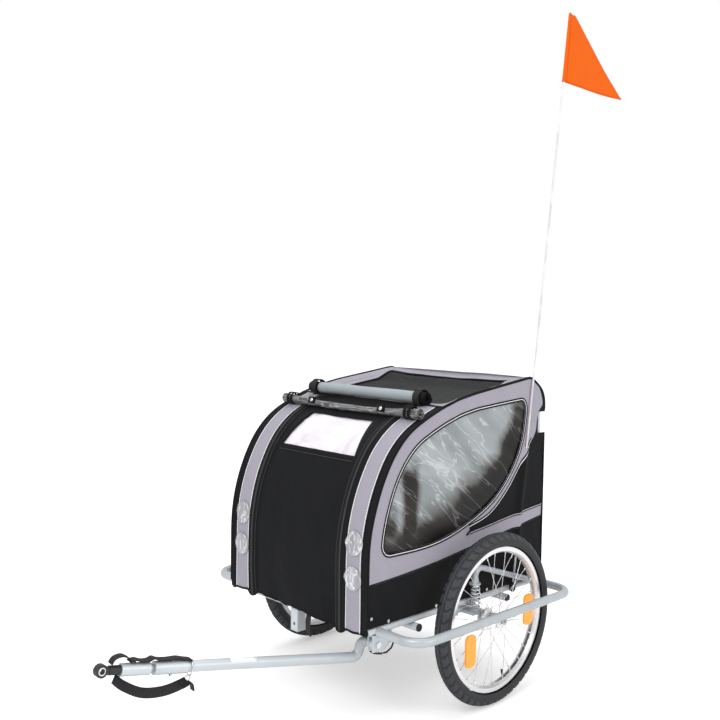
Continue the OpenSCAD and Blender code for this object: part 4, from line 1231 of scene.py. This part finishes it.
def floor_mat():
    """A padded mat: a slab swollen by at most cap, with sewn channels across its top, and its piping."""
    low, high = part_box("floor_mat")
    middle = (low + high) / 2
    inset, corner, cap = 5 * MM, 25 * MM, 3 * MM
    channels_x = [x * MM for x in (-165, -55, 55, 165)]
    channels_y = [AXLE_Y + y * MM for y in (-280, -160, -40, 80, 200)]
    size = high - low - Vector((2 * inset, 2 * inset, 5 * MM))
    pad, rest = swollen_pad("floor_mat_pad", size, middle)
    for v, home in zip(pad.data.vertices, rest):
        v.co = home + Vector([max(-cap, min(cap, step)) for step in v.co - home])
        if home.z > middle.z:
            depths = [notch(v.co.x, x, 5 * MM) for x in channels_x]
            depths += [notch(v.co.y, y, 5 * MM) for y in channels_y]
            v.co.z -= 3.0 * MM * max(depths)
        v.co.z = max(v.co.z, low.z)
    pad.data.materials.append(looks["mat_fabric"])
    layer = pad.data.uv_layers.new(name="UVMap")
    for loop in pad.data.loops:
        layer.data[loop.index].uv = pad.data.vertices[loop.vertex_index].co.xy
    pad.data.shade_smooth()
    place(pad, nodes=["floor_mat"])
    reach = high - middle - Vector((corner + inset, corner + inset, 0))
    path = []
    for quarter, (sx, sy) in enumerate(((1, 1), (-1, 1), (-1, -1), (1, -1))):
        centre = middle + Vector((sx * reach.x, sy * reach.y, 0))
        for k in range(7):
            turn = math.radians(90 * quarter + 15 * k)
            path.append(centre + corner * Vector((math.cos(turn), math.sin(turn), 0)))
    place(cord("floor_mat_piping", path, 2.5 * MM, binding, closed=True))


# ---------------------------------------------------------------- wheels
def wheel_centre(word):
    low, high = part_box("tyre_" + word)
    return (low + high) / 2, (high.z - low.z) / 2, (high.x - low.x) / 2


def tread(angle, across, blocks):
    """1 on a block and 0 in a groove; across runs from -1 to 1 over the tread."""
    side = 1 if across > 0 else -1
    wide = abs(across)
    rib, groove, shoulder = 0.12, 0.20, 0.62
    turn = angle * blocks / (2 * math.pi) + 0.25 * side
    zigzag = abs((turn % 1) - 0.5) * 2
    if wide < rib:
        return 1.0
    if wide < groove + 0.10 * zigzag:
        return 0.0
    bend = shoulder if wide < shoulder else 2 * shoulder - wide
    phase = (turn + 0.9 * bend) % 1
    return 0.0 if phase < 0.24 else 1.0


def tyres():
    """Tyres with a block tread, and the nipples of the spokes."""
    steps, blocks = 576, 48
    leans = [math.radians(a) for a in range(-128, 129, 4)]
    tread_edge = math.radians(74)
    for word in SIDES:
        centre, outer, half = wheel_centre(word)
        mid_r = outer - half
        places, uvs, wear_and_painted_highlight = [], [], []
        for i in range(steps):
            turn = 2 * math.pi * i / steps
            for lean in leans:
                share = lean / tread_edge
                top, depth = 0.0, -0.4 * MM
                if abs(share) < 1:
                    top = tread(turn, share, blocks)
                    depth = -2.6 * MM * (1 - top)
                r = mid_r + (half + depth) * math.cos(lean)
                x = (half + depth) * math.sin(lean)
                places.append(centre + Vector((x, r * math.sin(turn), r * math.cos(turn))))
                uvs.append((mid_r * turn, half * lean))
                wear_and_painted_highlight.append(top)
        faces = quads(steps, len(leans), round_rows=True)
        tyre = build("tyre_tread_" + word, places, faces, [looks["tyre_rubber"]], uvs)
        # The block tops get the rubber's painted highlight
        layer = tyre.data.attributes.new("wear_and_painted_highlight", "FLOAT", "POINT")
        layer.data.foreach_set("value", wear_and_painted_highlight)
        place(thicken(tyre, 2.5 * MM), "wheel_" + word, ["tyre_" + word])
        nipples(word, centre)


def nipples(word, centre):
    """The small plated ends that hold each spoke at the rim, found from the CAD spokes' outer ends."""
    mesh = frame["nodes"]["spokes_" + word].data
    profile = in_mm((0.1, 0), (2.2, 0.2), (2.2, 2), (1.7, 3), (1.6, 11), (1.2, 12))
    ends = {}
    reach = max((v.co - centre).yz.length for v in mesh.vertices)
    for v in mesh.vertices:
        flat = (v.co - centre).yz
        if flat.length > reach - 1.5 * MM:
            key = round(math.degrees(math.atan2(flat.y, flat.x)) / 3)
            ends.setdefault(key, []).append(v.co.copy())
    parts = []
    for tips in ends.values():
        tip = sum(tips, Vector((0, 0, 0))) / len(tips)
        inward = Vector((0, *(centre - tip).yz)).normalized()
        parts.append(lathe("nipple", profile, tip, inward, looks["chrome"], 8))
    place(joined("nipples_" + word, parts), "wheel_" + word)


def springs():
    """A coil between each arm and its seat, and its collar."""
    wire, turns, steps = 2.2 * MM, 6, 132
    profile = in_mm((5, 0), (10, 0), (11, 1), (11, 5), (10, 6), (5, 6))
    for word in SIDES:
        low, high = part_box("spring_" + word)
        middle = (low + high) / 2
        radius = (high.y - low.y) / 2 - wire
        path = []
        for k in range(steps + 1):
            turn = 2 * math.pi * turns * k / steps
            z = low.z + wire + (high.z - low.z - 2 * wire) * k / steps
            path.append(Vector((middle.x + radius * math.cos(turn), middle.y + radius * math.sin(turn), z)))
        coil = cord("coil_" + word, path, wire, looks["chrome"], 10)
        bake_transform(coil)
        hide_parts("spring_" + word)
        foot = (middle.x, middle.y, high.z - 7 * MM)
        place(lathe("spring_collar_" + word, profile, foot, (0, 0, 1), looks["chrome"], 24))


# ---------------------------------------------------------------- flag
def pennant():
    """The flag: a hemmed triangle that waves a little, its sleeve on the pole, and the pole's tip."""
    low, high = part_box("flag")
    pole_low, pole_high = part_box("flag_pole")
    x = (pole_low.x + pole_high.x) / 2
    height = (high.z - low.z) / FLAG_PULL.z - 1 * MM
    tail = high.y - low.y
    foot = Vector((x, low.y + 4.8 * MM, low.z + 0.5 * MM))
    orange = looks["flag_orange"]
    rows, columns = 26, 30
    wide = columns + 1
    places, uvs = [], []
    for i in range(rows + 1):
        up = i / rows
        start = foot + FLAG_PULL * (height * up)
        reach = (tail - 6 * MM) * (1 - up) + 30 * MM * up
        for k in range(wide):
            out = k / columns
            y = reach * out
            free = y / tail
            wave = 5.0 * MM * free * math.sin(7 * free + 2.5 * up)
            wave += 2.5 * MM * free * wobble(out * 2, up * 3, 0, 16)
            dip = 4 * MM * math.sin(math.pi * free) * (1 - up)
            places.append(Vector((x + wave, start.y + y, start.z - dip)))
            uvs.append((y, height * up))
    sail = thicken(build("pennant", places, quads(rows + 1, wide), [orange], uvs), 0.5 * MM, 0)
    place(sail, "flag_mast", ["flag"])
    path = [foot + FLAG_PULL * (height * k / 12) for k in range(13)]
    place(cord("pennant_sleeve", path, 4.4 * MM, orange, 14), "flag_mast")
    thread = stitches("orange_stitch", (0.75, 0.09, 0.004), (0.9, 0.12, 0.006))
    hems = {"lower": [p + Vector((0.6 * MM, 0, 5 * MM)) for p in places[:wide]],
            "pole": [p + Vector((0.6 * MM, 6 * MM, 0)) for p in places[1:rows * wide:wide]]}
    for kind, path in hems.items():
        hem = strap("pennant_hem_" + kind, path, (1, 0, 0), 2 * MM, thread, 0.5 * MM)
        place(hem, "flag_mast")
    top = Vector((x, pole_high.y - 3 * MM, pole_high.z - 6 * MM))
    tip = lathe("pole_tip", dome(4.2 * MM, 5 * MM), top, FLAG_PULL, looks["black_plastic"], 20)
    place(tip, "flag_mast")


# ---------------------------------------------------------------- tow bar and hitch
eye = Vector(next(m["pos_m"] for m in record["mounts"] if m["name"] == "hitch_eye_bore"))
bar_dir = joint_axis("eye_roll").normalized()
bar_up = (Vector((0, 0, 1)) - bar_dir * bar_dir.z).normalized()
bar_side = bar_dir.cross(bar_up)
TOW_R = 14 * MM


def by_bar(distance, up=0.0, side=0.0):
    """A point at a distance from the eye along the bar, moved up and sideways, all in millimetres."""
    return eye + bar_dir * (distance * MM) + bar_up * (up * MM) + bar_side * (side * MM)


def hitch_webbing(name, marks, step, up, width, thickness, nodes=()):
    """Webbing through marks of (distance from the eye, height over the bar); lengths in millimetres."""
    path = curve_through([by_bar(*mark) for mark in marks], step * MM)
    piece = strap(name, path, up, width * MM, looks["webbing"], thickness * MM)
    place(piece, "tow_arm", nodes)


def hitch_soft():
    """The webbing that backs up the hitch, its sewn ends, and the bush in the eye."""
    slack = ((34, -19), (60, -37), (110, -56), (165, -55), (212, -40), (222, -34))
    hitch_webbing("safety_webbing", slack, 6, bar_up + bar_side * 1.2, 24, 3.2, ["safety_strap"])
    top = ((64, 19), (78, 23), (96, 19), (112, 20), (122, 25), (136, 21), (160, 20), (185, 22), (205, 19),
           (222, 17))
    hitch_webbing("hitch_top_webbing", top, 5, bar_up, 24, 3.0)
    arch = ((20, 15), (26, 27), (42, 33), (56, 30), (68, 22), (76, 19))
    hitch_webbing("hitch_arch_webbing", arch, 4, -bar_dir, 22, 3.0)
    tab = ((200, -38), (226, -36), (236, -44), (240, -58))
    hitch_webbing("safety_webbing_end", tab, 5, (0, 0, 1), 20, 2.0)
    bush = in_mm((6.6, -8.6), (9.5, -8.6), (9.5, 8.6), (6.6, 8.6), (6.6, -8.6))
    place(lathe("eye_bushing", bush, eye, (1, 0, 0), looks["spoke_steel"], 32), "hitch_eye")


def tow_bar_label():
    """A blank pale label wrapped round part of the bar."""
    distances, steps = (330, 350, 370, 390, 405), 12
    r = TOW_R / MM + 0.25
    places, uvs = [], []
    for distance in distances:
        for k in range(steps + 1):
            turn = math.radians(-50 + 110 * k / steps)
            places.append(by_bar(distance, r * math.cos(turn), r * math.sin(turn)))
            uvs.append((distance * MM, r * MM * turn))
    faces = quads(len(distances), steps + 1)
    place(thicken(build("tow_bar_label", places, faces, [label], uvs), 0.25 * MM), "tow_arm")


def bracket_clip():
    """A clip of bent wire under the tow bar's bracket."""
    low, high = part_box("tow_bracket")
    centre = Vector(((low.x + high.x) / 2, (low.y + high.y) / 2, low.z - 4 * MM))
    bends = ((-14, 6), (-4, 4), (6, 3), (14, -4), (8, -10), (-2, -5), (-12, -8))
    path = curve_through([centre + Vector((x, -2, z)) * MM for x, z in bends], 2 * MM)
    place(cord("bracket_clip", path, 1.3 * MM, looks["chrome"]))


# ---------------------------------------------------------------- put it all together
for part in record["subparts"]:
    piece = frame["nodes"][part["node"]]
    piece.data.materials.clear()
    piece.data.materials.append(looks[part["material_slot"]])

front_cover()
front_window()
roof_cover()
roof_net()
rear_cover()
side_sheets()
side_windows()
cover_trim()
rolls()
front_strap_end()
discs()
floor_mat()
tyres()
springs()
pennant()
hitch_soft()
tow_bar_label()
bracket_clip()


# ---------------------------------------------------------------- stage, lights and camera
def stage_floor():
    """A pale floor, which the camera sees a little brighter than it is lit."""
    places = [(-40, -40, 0), (40, -40, 0), (40, 40, 0), (-40, 40, 0)]
    material, tree, shader = principled("floor_paint", (0.94, 0.94, 0.94), 0.9, Specular_IOR_Level=0.1)
    shader.inputs["Emission Color"].default_value = (1, 1, 1, 1)
    seen = node(tree, "ShaderNodeLightPath").outputs["Is Camera Ray"]
    feed(shader, Emission_Strength=calc(tree, "MULTIPLY", seen, 0.34))
    mottle = noise_at(tree, where(tree, "Object"), 3, 3)
    feed(shader, Base_Color=blend_colour(tree, mottle, (0.93, 0.93, 0.93), (0.95, 0.95, 0.95)))
    floor = build("stage_floor", places, [(0, 1, 2, 3)], [material], smooth=False)
    floor.location.z = -0.5 * MM


def softbox(name, at, aim, size, power):
    """A soft light at a place measured from the axle, pointing to another."""
    light = bpy.data.lights.new(name, "AREA")
    light.shape = "RECTANGLE"
    light.size, light.size_y = size
    light.energy = power
    holder = bpy.data.objects.new(name, light)
    holder.location = Vector(at) + Vector((0, AXLE_Y, 0))
    holder.rotation_euler = (Vector(aim) - Vector(at)).to_track_quat("-Z", "Y").to_euler()
    scene.collection.objects.link(holder)


def camera():
    """The photograph's camera: its direction, roll and lens were fitted to the wheel and the cabin."""
    azimuth, elevation, roll = (math.radians(a) for a in (46.08, 3.33, 0.81))
    level = math.cos(elevation)
    back = Vector((math.sin(azimuth) * level, -math.cos(azimuth) * level, math.sin(elevation)))
    right = Vector((math.cos(azimuth), math.sin(azimuth), 0))
    up = back.cross(right)
    across = right * math.cos(roll) + up * math.sin(roll)
    over = up * math.cos(roll) - right * math.sin(roll)
    made = bpy.data.cameras.new("camera")
    made.lens = 46.2
    made.sensor_width = 36
    holder = bpy.data.objects.new("camera", made)
    at = Matrix.Translation((2.0006, AXLE_Y - 2.1162, 1.1486))
    holder.matrix_world = at @ Matrix((across, over, back)).transposed().to_4x4()
    scene.collection.objects.link(holder)
    scene.camera = holder


def sky():
    scene.world = bpy.data.worlds.new("studio")
    scene.world.use_nodes = True
    tree = scene.world.node_tree
    backdrop = tree.nodes["Background"]
    backdrop.inputs["Color"].default_value = (1, 1, 1, 1)
    seen = node(tree, "ShaderNodeLightPath").outputs["Is Camera Ray"]
    feed(backdrop, Strength=ramp(tree, seen, 0, 1, 0.85, 1.0))
    scene.view_settings.view_transform = "Standard"


stage_floor()
softbox("key", (1.2, -3.2, 3.4), (0, -0.1, 0.6), (2.4, 1.6), 60)
softbox("side", (3.6, 0.6, 1.9), (0.3, 0, 0.5), (1.8, 1.8), 28)
softbox("top", (-0.6, 0.8, 4.2), (0, 0, 0.6), (2.6, 2.6), 35)
camera()
sky()
